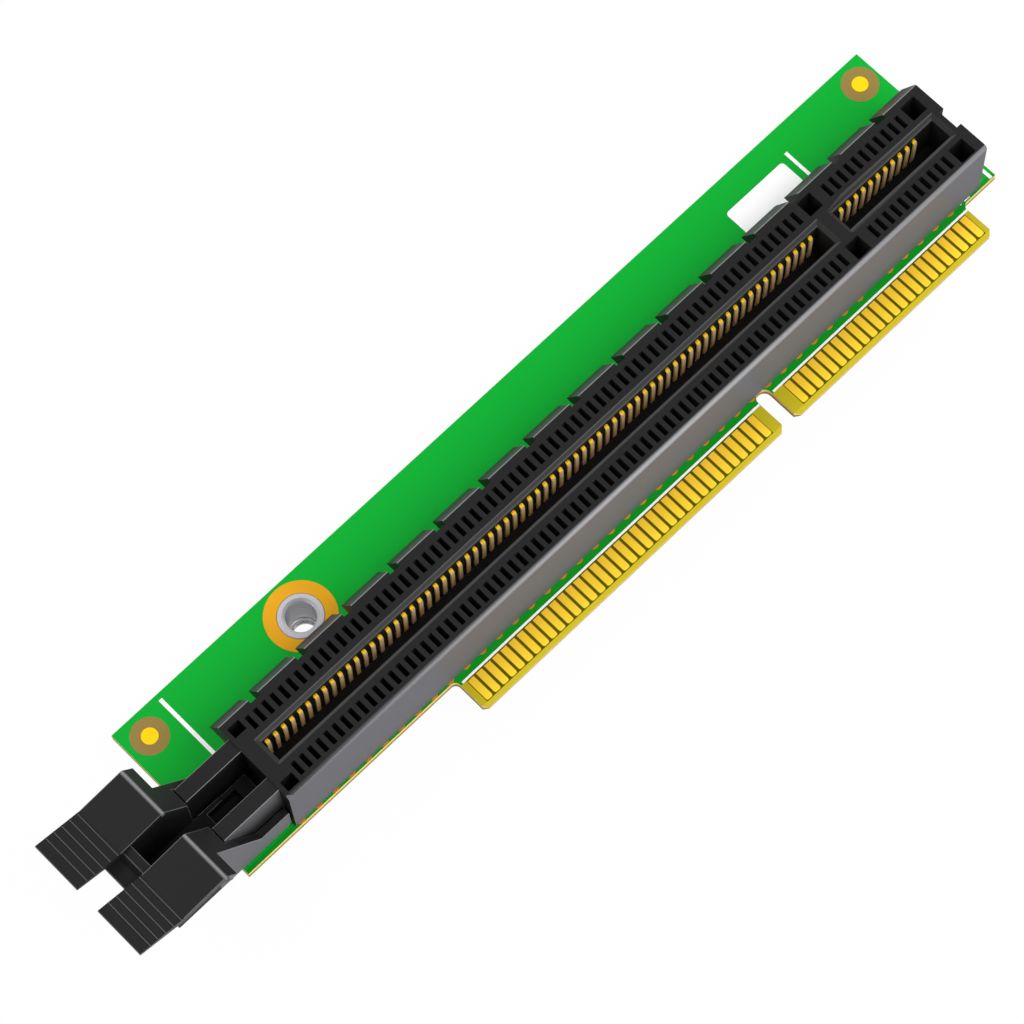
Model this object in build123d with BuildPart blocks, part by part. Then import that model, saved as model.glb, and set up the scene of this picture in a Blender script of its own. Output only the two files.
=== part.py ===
from build123d import *
import math
import os

os.makedirs("parts", exist_ok=True)

# Dimensions are in millimetres. X runs along the slot, Y towards the rear edge of the board,
# Z up. The origin is on the slot centreline at the first contact, on the top face of the board.

# Spring contacts of the card slot
CONTACT_PITCH = 1.0
LONG_CONTACT_COUNT = 71
SHORT_CONTACT_COUNT = 11
CONTACT_WIDTH = 0.42
CONTACT_T = 0.25
CONTACT_WALL_GAP = 0.005
CONTACT_FLOOR_GAP = 0.1
CONTACT_TOP_DEPTH = 1.5
CONTACT_TIP_DROP = 0.3
TAIL_Y_OUTER = 3.6
TAIL_Y_INNER = 1.9

# Card pockets, long then short, with the key wall between them
POCKET_HALF_Y = 1.2
POCKET_FLOOR_Z = 2.9
POCKET_LEAD = 0.45
LONG_POCKET_START_GAP = 0.6
LONG_POCKET_END_GAP = 0.9
KEY_WALL_T = 2.05
SHORT_POCKET_START_GAP = 1.21
SHORT_POCKET_END_GAP = 2.34

# Slot housing
SLOT_END_WALL_LOW = 1.96
SLOT_END_WALL_HIGH = 1.51
SLOT_HALF_Y = 4.36
SLOT_H = 8.74
SLOT_TOP_BEVEL = 0.12
END_RECESS_HALF_Y = 1.13
END_RECESS_DEPTH = 0.55

# Contact cells of the slot
CELL_FIT = 0.04
CELL_ROOF_T = 1.0
CELL_HOLE_LENGTH = 1.5

# Moulding pockets in the top of the slot
TOP_POCKET_FLOOR_Z = 3.0
LOW_POCKET_WALL = 0.46
LOW_POCKET_LENGTH = 1.4
LOW_POCKET_Y = 2.9
KEY_POCKET_WALL = 0.175
KEY_POCKET_Y = 2.2
HIGH_POCKET_WALL = 1.06
HIGH_POCKET_LENGTH = 1.85
TOP_POCKET_SIDE_WALL = 0.3

# Ribs on the rear wall of the slot
RIB_TOP_REACH = 0.39
RIB_FOOT_REACH = 1.94
RIB_H = 3.24
RIB_NOTCH_START = 4.26
RIB_NOTCH_PITCH = 5.8
RIB_NOTCH_WIDTH = 1.15

# Locating posts of the slot through the board
POST_R = 0.9
POST_FIT = 0.05
POST_REACH = 0.6

# Circuit board
BOARD_T = 1.0
BOARD_WIDTH = 18.53
BOARD_END_LOW = 6.21
BOARD_END_HIGH = 1.98
BOARD_FRONT_MARGIN = 0.42

# Edge connector tabs of the board, set out from its right end
SHORT_TAB_END_GAP = 4.59
SHORT_TAB_LENGTH = 26.9
KEY_NOTCH_WIDTH = 1.65
KEY_NOTCH_OVERRUN = 0.33
LONG_TAB_LENGTH = 39.45
TAB_DEPTH = 3.99
TAB_ROOT_R = 0.6
TAB_CORNER = 0.45
EDGE_BEVEL_Y = 0.42
EDGE_BEVEL_Z = 0.3

# Plated edge fingers
FINGER_PITCH = 1.05
FINGER_WIDTH = 0.75
FINGER_LENGTH = 2.6
FINGER_EDGE_GAP = 0.52
FINGER_T = 0.04
LONG_FINGER_START = 1.1
SHORT_FINGER_START = 1.75
FINGER_END_GAP = 0.9

# Thin copper pads
PAD_T = 0.04
FIDUCIAL_R = 0.83
FIDUCIAL_REAR_GAP = 2.53
FIDUCIAL_END_LOW = 2.49
FIDUCIAL_END_HIGH = 2.14

# Threaded nut near the rear edge of the board
NUT_END_GAP = 20.34
NUT_REAR_GAP = 3.87
NUT_SHANK_R = 2.25
NUT_SHANK_FIT = 0.04
NUT_SHOULDER = 0.5
NUT_RISE = 0.1
NUT_BODY_H = 5.0
NUT_BORE_R = 1.5
NUT_LIP = 0.25
NUT_LIP_H = 0.5
NUT_LEAD = 0.3
NUT_PAD_RING = 1.3

# Solder joints under the board
SOLDER_WIDTH = 0.9
SOLDER_H = 0.55

# Latch arms at the end of the slot
ARM_REACH = 4.64
ARM_R = 2.05
ARM_BOARD_GAP = 0.15
ARM_TOP_STEP = 0.14
ARM_Y_INNER = 1.69
ARM_T = 1.63
PIN_R = 0.8
PIN_FIT = 0.05
PIN_REACH = 0.91
PIN_END_GAP = 0.09

# Latch lever round its pivot
LATCH_INNER_GAP = 0.34
LATCH_OUTER_GAP = 0.13
LATCH_SLOT_GAP = 0.15
LATCH_LENGTH = 9.5
LATCH_DROP = 1.6
CHEEK_T = 0.8
CHEEK_RISE = 1.6
CHEEK_END_GAP = 0.19
CHEEK_CHAMFER = 0.55
CHEEK_SLOPE_RUN = 4.59
TONGUE_RISE = 1.8
TONGUE_END_GAP = 0.54
TONGUE_POCKET_START = 0.9
TONGUE_POCKET_END_WALL = 1.57
TONGUE_POCKET_SIDE_WALL = 0.48
TONGUE_POCKET_DEPTH = 1.5
WEB_T = 0.95
WEB_DROP = 0.16
WEB_BACK_INSET = 0.05
WEB_BACK_DROP = 0.62
SHELF_DROP = 1.6
SHELF_T = 0.7
SHELF_ROOT = 0.4
SHELF_REACH = 1.95

# Finger paddles of the latch lever
PADDLE_HALF_Y = 6.84
PADDLE_T = 0.85
PADDLE_FOOT_SETBACK = 1.3
PADDLE_FOOT_RISE = 1.95
PADDLE_CREST_RUN = 1.09
PADDLE_CREST_RISE = 1.65
PADDLE_CREST_R = 0.3
PADDLE_VALLEY_SETBACK = 0.2
PADDLE_VALLEY_DROP = 0.4
PADDLE_TIP_LENGTH = 5.04
PADDLE_TIP_RISE = 1.23
PADDLE_TIP_T = 0.4
GRIP_PITCH = 0.89
GRIP_END_GAP = 1.19
GRIP_START_GAP = 0.2
GRIP_WIDTH = 0.2
GRIP_H = 0.06

# Places along the slot
LONG_CONTACT_XS = [i * CONTACT_PITCH for i in range(LONG_CONTACT_COUNT)]
LONG_POCKET_X_LOW = LONG_CONTACT_XS[0] - LONG_POCKET_START_GAP
LONG_POCKET_X_HIGH = LONG_CONTACT_XS[-1] + LONG_POCKET_END_GAP
SHORT_POCKET_X_LOW = LONG_POCKET_X_HIGH + KEY_WALL_T
SHORT_CONTACT_X = SHORT_POCKET_X_LOW + SHORT_POCKET_START_GAP
SHORT_CONTACT_XS = [SHORT_CONTACT_X + i * CONTACT_PITCH for i in range(SHORT_CONTACT_COUNT)]
SHORT_POCKET_X_HIGH = SHORT_CONTACT_XS[-1] + SHORT_POCKET_END_GAP
SLOT_X_LOW = LONG_POCKET_X_LOW - SLOT_END_WALL_LOW
SLOT_X_HIGH = SHORT_POCKET_X_HIGH + SLOT_END_WALL_HIGH
POST_XS = [(SLOT_X_LOW + LONG_POCKET_X_LOW) / 2, LONG_POCKET_X_HIGH + KEY_WALL_T / 2]

# Places on the board
BOARD_X_LOW = SLOT_X_LOW - BOARD_END_LOW
BOARD_X_HIGH = SLOT_X_HIGH + BOARD_END_HIGH
BOARD_Y_FRONT = -SLOT_HALF_Y - BOARD_FRONT_MARGIN
BOARD_Y_REAR = BOARD_Y_FRONT + BOARD_WIDTH
TAB_EDGE_Y = BOARD_Y_FRONT - TAB_DEPTH
SHORT_TAB_X_HIGH = BOARD_X_HIGH - SHORT_TAB_END_GAP
SHORT_TAB_X_LOW = SHORT_TAB_X_HIGH - SHORT_TAB_LENGTH
LONG_TAB_X_HIGH = SHORT_TAB_X_LOW - KEY_NOTCH_WIDTH
LONG_TAB_X_LOW = LONG_TAB_X_HIGH - LONG_TAB_LENGTH
LONG_FINGER_ROOM = LONG_TAB_LENGTH - LONG_FINGER_START - FINGER_END_GAP
SHORT_FINGER_ROOM = SHORT_TAB_LENGTH - SHORT_FINGER_START - FINGER_END_GAP
LONG_FINGER_COUNT = int(LONG_FINGER_ROOM / FINGER_PITCH) + 1
SHORT_FINGER_COUNT = int(SHORT_FINGER_ROOM / FINGER_PITCH) + 1
FINGER_Y = TAB_EDGE_Y + FINGER_EDGE_GAP
LONG_FINGER_SPOTS = [
    (LONG_TAB_X_LOW + LONG_FINGER_START + i * FINGER_PITCH, FINGER_Y) for i in range(LONG_FINGER_COUNT)
]
SHORT_FINGER_SPOTS = [
    (SHORT_TAB_X_LOW + SHORT_FINGER_START + i * FINGER_PITCH, FINGER_Y) for i in range(SHORT_FINGER_COUNT)
]
FIDUCIAL_SPOTS = [
    (BOARD_X_LOW + FIDUCIAL_END_LOW, BOARD_Y_REAR - FIDUCIAL_REAR_GAP),
    (BOARD_X_HIGH - FIDUCIAL_END_HIGH, BOARD_Y_REAR - FIDUCIAL_REAR_GAP),
]
NUT_SPOT = (BOARD_X_LOW + NUT_END_GAP, BOARD_Y_REAR - NUT_REAR_GAP)
NUT_BOTTOM_Z = -BOARD_T - NUT_BODY_H

# Places across the slot
CONTACT_Y = POCKET_HALF_Y - CONTACT_T / 2 - CONTACT_WALL_GAP
CONTACT_TOP_Z = SLOT_H - CONTACT_TOP_DEPTH
CELL_WIDTH = CONTACT_WIDTH + 2 * CELL_FIT
CELL_Y_INNER = POCKET_HALF_Y
CELL_Y_OUTER = TAIL_Y_OUTER + CONTACT_T / 2 + CELL_FIT
CELL_ROOF_Z = SLOT_H - CELL_ROOF_T
CELL_XS = LONG_CONTACT_XS + SHORT_CONTACT_XS
TOP_POCKET_Y_HIGH = SLOT_HALF_Y - TOP_POCKET_SIDE_WALL
TOP_POCKETS = [
    (SLOT_X_LOW + LOW_POCKET_WALL, LOW_POCKET_LENGTH, LOW_POCKET_Y),
    (LONG_POCKET_X_HIGH + KEY_POCKET_WALL, KEY_WALL_T - 2 * KEY_POCKET_WALL, KEY_POCKET_Y),
    (SLOT_X_HIGH - HIGH_POCKET_WALL - HIGH_POCKET_LENGTH, HIGH_POCKET_LENGTH, KEY_POCKET_Y),
]
RIB_FOOT_Z = SLOT_H - RIB_H
RIB_NOTCH_ROOM = SLOT_X_HIGH - SLOT_X_LOW - RIB_NOTCH_START - RIB_NOTCH_WIDTH
RIB_NOTCH_COUNT = int(RIB_NOTCH_ROOM / RIB_NOTCH_PITCH) + 1

# Places on the latch
PIVOT_X = SLOT_X_LOW - ARM_REACH
PIVOT_Z = ARM_R + ARM_BOARD_GAP
ARM_Y_OUTER = ARM_Y_INNER + ARM_T
ARM_TOP_Z = SLOT_H - ARM_TOP_STEP
PIN_END_Y = ARM_Y_INNER + PIN_REACH
LATCH_SLOT_X = PIVOT_X - ARM_R - LATCH_SLOT_GAP
LATCH_SLOT_Y_INNER = ARM_Y_INNER - LATCH_INNER_GAP
LATCH_SLOT_Y_OUTER = ARM_Y_OUTER + LATCH_OUTER_GAP
LATCH_HALF_Y = LATCH_SLOT_Y_OUTER + CHEEK_T
LATCH_BOTTOM_Z = PIVOT_Z - LATCH_DROP
LATCH_BACK_X = PIVOT_X - LATCH_LENGTH
CHEEK_END_X = SLOT_X_LOW - CHEEK_END_GAP
CHEEK_TOP_Z = PIVOT_Z + CHEEK_RISE
TONGUE_END_X = SLOT_X_LOW - TONGUE_END_GAP
TONGUE_TOP_Z = PIVOT_Z + TONGUE_RISE
PADDLE_FOOT_X = LATCH_SLOT_X - PADDLE_FOOT_SETBACK
PADDLE_FOOT_Z = ARM_TOP_Z + PADDLE_FOOT_RISE
PADDLE_CREST_X = PADDLE_FOOT_X - PADDLE_CREST_RUN
PADDLE_CREST_Z = PADDLE_FOOT_Z + PADDLE_CREST_RISE
PADDLE_VALLEY_X = LATCH_BACK_X - PADDLE_VALLEY_SETBACK
PADDLE_VALLEY_Z = PADDLE_CREST_Z - PADDLE_VALLEY_DROP
PADDLE_TIP_X = PADDLE_VALLEY_X - PADDLE_TIP_LENGTH
PADDLE_TIP_Z = PADDLE_VALLEY_Z + PADDLE_TIP_RISE
SHELF_TOP_Z = PADDLE_VALLEY_Z - SHELF_DROP
WEB_X = LATCH_BACK_X + WEB_T
WEB_BACK_X = LATCH_BACK_X + WEB_BACK_INSET
SHELF_ROOT_X = LATCH_BACK_X - SHELF_ROOT
GRIP_COUNT = int((PADDLE_TIP_LENGTH - GRIP_END_GAP - GRIP_START_GAP) / GRIP_PITCH) + 1

# Board outline with two tabs
with BuildPart() as circuit_board:
    with BuildSketch(Plane.XY.offset(-BOARD_T)) as board_face:
        with BuildLine():
            Polyline(
                (BOARD_X_LOW, BOARD_Y_FRONT),
                (LONG_TAB_X_LOW, BOARD_Y_FRONT),
                (LONG_TAB_X_LOW, TAB_EDGE_Y),
                (SHORT_TAB_X_HIGH, TAB_EDGE_Y),
                (SHORT_TAB_X_HIGH, BOARD_Y_FRONT),
                (BOARD_X_HIGH, BOARD_Y_FRONT),
                (BOARD_X_HIGH, BOARD_Y_REAR),
                (BOARD_X_LOW, BOARD_Y_REAR),
                close=True,
            )
        make_face()
        tab_roots = board_face.vertices().filter_by_position(Axis.Y, BOARD_Y_FRONT, BOARD_Y_FRONT)
        tab_roots = tab_roots.filter_by_position(Axis.X, LONG_TAB_X_LOW, SHORT_TAB_X_HIGH)
        fillet(tab_roots, TAB_ROOT_R)
        notch_r = KEY_NOTCH_WIDTH / 2
        notch_x = LONG_TAB_X_HIGH + notch_r
        notch_top_y = BOARD_Y_FRONT + KEY_NOTCH_OVERRUN - notch_r
        with Locations((notch_x, notch_top_y)):
            Circle(notch_r, mode=Mode.SUBTRACT)
        with Locations((notch_x, TAB_EDGE_Y)):
            Rectangle(
                KEY_NOTCH_WIDTH,
                notch_top_y - TAB_EDGE_Y,
                align=(Align.CENTER, Align.MIN),
                mode=Mode.SUBTRACT,
            )
        tab_corners = board_face.vertices().filter_by_position(Axis.Y, TAB_EDGE_Y, TAB_EDGE_Y)
        chamfer(tab_corners, TAB_CORNER)
        with Locations(NUT_SPOT):
            Circle(NUT_SHANK_R + NUT_SHANK_FIT, mode=Mode.SUBTRACT)
        with Locations(*[(x, 0) for x in POST_XS]):
            Circle(POST_R + POST_FIT, mode=Mode.SUBTRACT)
    extrude(amount=BOARD_T)
    with BuildSketch(Plane.YZ.offset(LONG_TAB_X_LOW)):
        with BuildLine():
            Polyline(
                (TAB_EDGE_Y + EDGE_BEVEL_Y, 0),
                (TAB_EDGE_Y, -EDGE_BEVEL_Z),
                (TAB_EDGE_Y, 0),
                close=True,
            )
        make_face()
        with BuildLine():
            Polyline(
                (TAB_EDGE_Y + EDGE_BEVEL_Y, -BOARD_T),
                (TAB_EDGE_Y, EDGE_BEVEL_Z - BOARD_T),
                (TAB_EDGE_Y, -BOARD_T),
                close=True,
            )
        make_face()
    extrude(amount=SHORT_TAB_X_HIGH - LONG_TAB_X_LOW, mode=Mode.SUBTRACT)
circuit_board.part.label = "circuit_board"
export_step(circuit_board.part, "parts/circuit_board.step")

# Edge fingers on the top face, long tab
with BuildPart() as edge_fingers_top_long:
    with BuildSketch(Plane.XY):
        with Locations(*LONG_FINGER_SPOTS):
            Rectangle(FINGER_WIDTH, FINGER_LENGTH, align=(Align.CENTER, Align.MIN))
    extrude(amount=FINGER_T)
edge_fingers_top_long.part.label = "edge_fingers_top_long"
export_step(edge_fingers_top_long.part, "parts/edge_fingers_top_long.step")

# Edge fingers on the top face, short tab
with BuildPart() as edge_fingers_top_short:
    with BuildSketch(Plane.XY):
        with Locations(*SHORT_FINGER_SPOTS):
            Rectangle(FINGER_WIDTH, FINGER_LENGTH, align=(Align.CENTER, Align.MIN))
    extrude(amount=FINGER_T)
edge_fingers_top_short.part.label = "edge_fingers_top_short"
export_step(edge_fingers_top_short.part, "parts/edge_fingers_top_short.step")

# Edge fingers on the underside, long tab
with BuildPart() as edge_fingers_under_long:
    with BuildSketch(Plane.XY.offset(-BOARD_T)):
        with Locations(*LONG_FINGER_SPOTS):
            Rectangle(FINGER_WIDTH, FINGER_LENGTH, align=(Align.CENTER, Align.MIN))
    extrude(amount=-FINGER_T)
edge_fingers_under_long.part.label = "edge_fingers_under_long"
export_step(edge_fingers_under_long.part, "parts/edge_fingers_under_long.step")

# Edge fingers on the underside, short tab
with BuildPart() as edge_fingers_under_short:
    with BuildSketch(Plane.XY.offset(-BOARD_T)):
        with Locations(*SHORT_FINGER_SPOTS):
            Rectangle(FINGER_WIDTH, FINGER_LENGTH, align=(Align.CENTER, Align.MIN))
    extrude(amount=-FINGER_T)
edge_fingers_under_short.part.label = "edge_fingers_under_short"
export_step(edge_fingers_under_short.part, "parts/edge_fingers_under_short.step")

# Round alignment pads
with BuildPart() as fiducial_pads:
    with BuildSketch(Plane.XY):
        with Locations(*FIDUCIAL_SPOTS):
            Circle(FIDUCIAL_R)
    extrude(amount=PAD_T)
fiducial_pads.part.label = "fiducial_pads"
export_step(fiducial_pads.part, "parts/fiducial_pads.step")

# Copper ring round the nut
with BuildPart() as nut_pad:
    with BuildSketch(Plane.XY):
        with Locations(NUT_SPOT):
            Circle(NUT_SHANK_R + NUT_PAD_RING)
            Circle(NUT_SHANK_R + NUT_SHANK_FIT, mode=Mode.SUBTRACT)
    extrude(amount=PAD_T)
nut_pad.part.label = "nut_pad"
export_step(nut_pad.part, "parts/nut_pad.step")

# Nut with its body under the board and its shank through the board
with BuildPart() as mounting_nut:
    with BuildSketch(Plane.XY.offset(NUT_BOTTOM_Z)):
        with Locations(NUT_SPOT):
            Circle(NUT_SHANK_R + NUT_SHOULDER)
    extrude(amount=NUT_BODY_H)
    with BuildSketch(Plane.XY.offset(-BOARD_T)):
        with Locations(NUT_SPOT):
            Circle(NUT_SHANK_R)
    extrude(amount=NUT_RISE + BOARD_T)
    with BuildSketch(Plane.XY.offset(NUT_BOTTOM_Z)):
        with Locations(NUT_SPOT):
            Circle(NUT_BORE_R - NUT_LIP)
    extrude(amount=NUT_LIP_H, mode=Mode.SUBTRACT)
    with BuildSketch(Plane.XY.offset(NUT_RISE)):
        with Locations(NUT_SPOT):
            Circle(NUT_BORE_R)
    extrude(amount=NUT_BOTTOM_Z + NUT_LIP_H - NUT_RISE, mode=Mode.SUBTRACT)
    bore_mouth = mounting_nut.edges().filter_by_position(Axis.Z, NUT_RISE, NUT_RISE).sort_by(SortBy.RADIUS)[0]
    chamfer(bore_mouth, NUT_LEAD)
mounting_nut.part.label = "mounting_nut"
export_step(mounting_nut.part, "parts/mounting_nut.step")

# Slot housing body
with BuildPart() as slot_housing:
    with BuildSketch(Plane.XY):
        with Locations((SLOT_X_LOW, 0)):
            Rectangle(SLOT_X_HIGH - SLOT_X_LOW, 2 * SLOT_HALF_Y, align=(Align.MIN, Align.CENTER))
        with Locations((SLOT_X_HIGH, 0)):
            Rectangle(
                END_RECESS_DEPTH,
                2 * END_RECESS_HALF_Y,
                align=(Align.MAX, Align.CENTER),
                mode=Mode.SUBTRACT,
            )
    extrude(amount=SLOT_H)
    with BuildSketch(Plane.YZ.offset(SLOT_X_LOW)):
        with BuildLine():
            Polyline(
                (-SLOT_HALF_Y, SLOT_H - SLOT_TOP_BEVEL),
                (-SLOT_HALF_Y, SLOT_H),
                (SLOT_TOP_BEVEL - SLOT_HALF_Y, SLOT_H),
                close=True,
            )
        make_face()
    extrude(amount=SLOT_X_HIGH - SLOT_X_LOW, mode=Mode.SUBTRACT)

    # Rear ribs, as one rail cut into lengths
    with BuildSketch(Plane.YZ.offset(SLOT_X_LOW)):
        with BuildLine():
            Polyline(
                (SLOT_HALF_Y, SLOT_H),
                (SLOT_HALF_Y + RIB_TOP_REACH, SLOT_H),
                (SLOT_HALF_Y + RIB_FOOT_REACH, RIB_FOOT_Z),
                (SLOT_HALF_Y, RIB_FOOT_Z),
                close=True,
            )
        make_face()
    extrude(amount=SLOT_X_HIGH - SLOT_X_LOW)
    with BuildSketch(Plane.XY.offset(RIB_FOOT_Z)):
        with Locations((SLOT_X_LOW + RIB_NOTCH_START, SLOT_HALF_Y)):
            with Locations(*[(i * RIB_NOTCH_PITCH, 0) for i in range(RIB_NOTCH_COUNT)]):
                Rectangle(RIB_NOTCH_WIDTH, RIB_FOOT_REACH, align=(Align.CENTER, Align.MIN))
    extrude(amount=RIB_H, mode=Mode.SUBTRACT)

    # Latch arms
    with BuildSketch(Plane.XZ.offset(ARM_Y_INNER)) as arm_front:
        with Locations((PIVOT_X - ARM_R, PIVOT_Z - ARM_R)):
            Rectangle(
                ARM_REACH + ARM_R,
                ARM_TOP_Z - ARM_BOARD_GAP,
                align=(Align.MIN, Align.MIN),
            )
        fillet(arm_front.vertices().sort_by(Axis.Y)[:2].sort_by(Axis.X)[0], ARM_R)
    extrude(amount=ARM_T)
    with BuildSketch(Plane.XZ.offset(-ARM_Y_INNER)) as arm_rear:
        with Locations((PIVOT_X - ARM_R, PIVOT_Z - ARM_R)):
            Rectangle(
                ARM_REACH + ARM_R,
                ARM_TOP_Z - ARM_BOARD_GAP,
                align=(Align.MIN, Align.MIN),
            )
        fillet(arm_rear.vertices().sort_by(Axis.Y)[:2].sort_by(Axis.X)[0], ARM_R)
    extrude(amount=-ARM_T)
    with BuildSketch(Plane.XZ):
        with Locations((PIVOT_X, PIVOT_Z)):
            Circle(PIN_R + PIN_FIT)
    extrude(amount=PIN_END_Y + PIN_END_GAP, both=True, mode=Mode.SUBTRACT)

    # Locating posts
    with BuildSketch(Plane.XY):
        with Locations(*[(x, 0) for x in POST_XS]):
            Circle(POST_R)
    extrude(amount=-BOARD_T - POST_REACH)

    # Card pockets with a lead-in at the mouth
    with BuildSketch(Plane.XY.offset(SLOT_H)):
        with Locations((LONG_POCKET_X_LOW - POCKET_LEAD, 0)):
            Rectangle(
                LONG_POCKET_X_HIGH - LONG_POCKET_X_LOW + 2 * POCKET_LEAD,
                2 * (POCKET_HALF_Y + POCKET_LEAD),
                align=(Align.MIN, Align.CENTER),
            )
        with Locations((SHORT_POCKET_X_LOW - POCKET_LEAD, 0)):
            Rectangle(
                SHORT_POCKET_X_HIGH - SHORT_POCKET_X_LOW + 2 * POCKET_LEAD,
                2 * (POCKET_HALF_Y + POCKET_LEAD),
                align=(Align.MIN, Align.CENTER),
            )
    extrude(amount=-POCKET_LEAD, taper=45, mode=Mode.SUBTRACT)
    with BuildSketch(Plane.XY.offset(SLOT_H)):
        with Locations((LONG_POCKET_X_LOW, 0)):
            Rectangle(
                LONG_POCKET_X_HIGH - LONG_POCKET_X_LOW,
                2 * POCKET_HALF_Y,
                align=(Align.MIN, Align.CENTER),
            )
        with Locations((SHORT_POCKET_X_LOW, 0)):
            Rectangle(
                SHORT_POCKET_X_HIGH - SHORT_POCKET_X_LOW,
                2 * POCKET_HALF_Y,
                align=(Align.MIN, Align.CENTER),
            )
    extrude(amount=POCKET_FLOOR_Z - SLOT_H, mode=Mode.SUBTRACT)

    # Moulding pockets on both sides of the top
    with BuildSketch(Plane.XY.offset(SLOT_H)):
        for pocket_x, pocket_length, pocket_y in TOP_POCKETS:
            with Locations((pocket_x, pocket_y)):
                Rectangle(pocket_length, TOP_POCKET_Y_HIGH - pocket_y, align=(Align.MIN, Align.MIN))
            with Locations((pocket_x, -pocket_y)):
                Rectangle(pocket_length, TOP_POCKET_Y_HIGH - pocket_y, align=(Align.MIN, Align.MAX))
    extrude(amount=TOP_POCKET_FLOOR_Z - SLOT_H, mode=Mode.SUBTRACT)

    # Contact cells, open to the pocket, to the board and through the top
    with BuildSketch(Plane.XY):
        with Locations(*[(x, CELL_Y_INNER) for x in CELL_XS]):
            Rectangle(CELL_WIDTH, CELL_Y_OUTER - CELL_Y_INNER, align=(Align.CENTER, Align.MIN))
        with Locations(*[(x, -CELL_Y_INNER) for x in CELL_XS]):
            Rectangle(CELL_WIDTH, CELL_Y_OUTER - CELL_Y_INNER, align=(Align.CENTER, Align.MAX))
    extrude(amount=CELL_ROOF_Z, mode=Mode.SUBTRACT)
    with BuildSketch(Plane.XY.offset(SLOT_H)):
        with Locations(*[(x, CELL_Y_OUTER) for x in CELL_XS]):
            Rectangle(CELL_WIDTH, CELL_HOLE_LENGTH, align=(Align.CENTER, Align.MAX))
        with Locations(*[(x, -CELL_Y_OUTER) for x in CELL_XS]):
            Rectangle(CELL_WIDTH, CELL_HOLE_LENGTH, align=(Align.CENTER, Align.MIN))
    extrude(amount=-CELL_ROOF_T, mode=Mode.SUBTRACT)
slot_housing.part.label = "slot_housing"
export_step(slot_housing.part, "parts/slot_housing.step")


def contact_points(side, tail_y):
    """Outline of one contact across the slot: a leg that slants over the pocket floor, then a blade."""
    half = CONTACT_T / 2
    floor_z = POCKET_FLOOR_Z + CONTACT_FLOOR_GAP
    knee_z = floor_z * (tail_y - CONTACT_Y) / (tail_y - half - POCKET_HALF_Y)
    return [
        (side * (tail_y - half), 0),
        (side * (tail_y + half), 0),
        (side * (CONTACT_Y + half), knee_z),
        (side * (CONTACT_Y + half), CONTACT_TOP_Z),
        (side * (CONTACT_Y - half), CONTACT_TOP_Z - CONTACT_TIP_DROP),
        (side * (CONTACT_Y - half), knee_z),
    ]


# Contact rows as node name, side of the slot, tail row and positions
CONTACT_ROWS = [
    ("contacts_front_long_outer", -1, TAIL_Y_OUTER, LONG_CONTACT_XS[0::2]),
    ("contacts_front_long_inner", -1, TAIL_Y_INNER, LONG_CONTACT_XS[1::2]),
    ("contacts_front_short_outer", -1, TAIL_Y_OUTER, SHORT_CONTACT_XS[1::2]),
    ("contacts_front_short_inner", -1, TAIL_Y_INNER, SHORT_CONTACT_XS[0::2]),
    ("contacts_rear_long_outer", 1, TAIL_Y_OUTER, LONG_CONTACT_XS[0::2]),
    ("contacts_rear_long_inner", 1, TAIL_Y_INNER, LONG_CONTACT_XS[1::2]),
    ("contacts_rear_short_outer", 1, TAIL_Y_OUTER, SHORT_CONTACT_XS[1::2]),
    ("contacts_rear_short_inner", 1, TAIL_Y_INNER, SHORT_CONTACT_XS[0::2]),
]
for row_name, row_side, row_tail_y, row_xs in CONTACT_ROWS:
    with BuildPart() as one_contact:
        with BuildSketch(Plane.YZ):
            with BuildLine():
                Polyline(*contact_points(row_side, row_tail_y), close=True)
            make_face()
        extrude(amount=CONTACT_WIDTH / 2, both=True)
    with BuildPart() as contact_row:
        with Locations(*[(x, 0, 0) for x in row_xs]):
            add(one_contact.part)
    contact_row.part.label = row_name
    export_step(contact_row.part, "parts/" + row_name + ".step")

# Solder joints on the underside, one under each contact tail
SOLDER_ROWS = [
    ("solder_joints_front_outer", -TAIL_Y_OUTER, LONG_CONTACT_XS[0::2] + SHORT_CONTACT_XS[1::2]),
    ("solder_joints_front_inner", -TAIL_Y_INNER, LONG_CONTACT_XS[1::2] + SHORT_CONTACT_XS[0::2]),
    ("solder_joints_rear_inner", TAIL_Y_INNER, LONG_CONTACT_XS[1::2] + SHORT_CONTACT_XS[0::2]),
    ("solder_joints_rear_outer", TAIL_Y_OUTER, LONG_CONTACT_XS[0::2] + SHORT_CONTACT_XS[1::2]),
]
with BuildPart() as one_joint:
    with BuildSketch(Plane.XY.offset(-BOARD_T)) as joint_base:
        Rectangle(SOLDER_WIDTH, SOLDER_WIDTH)
    loft([joint_base.sketch.face(), Vertex(0, 0, -BOARD_T - SOLDER_H)])
for row_name, row_y, row_xs in SOLDER_ROWS:
    with BuildPart() as solder_row:
        with Locations(*[(x, row_y, 0) for x in row_xs]):
            add(one_joint.part)
    solder_row.part.label = row_name
    export_step(solder_row.part, "parts/" + row_name + ".step")

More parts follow.
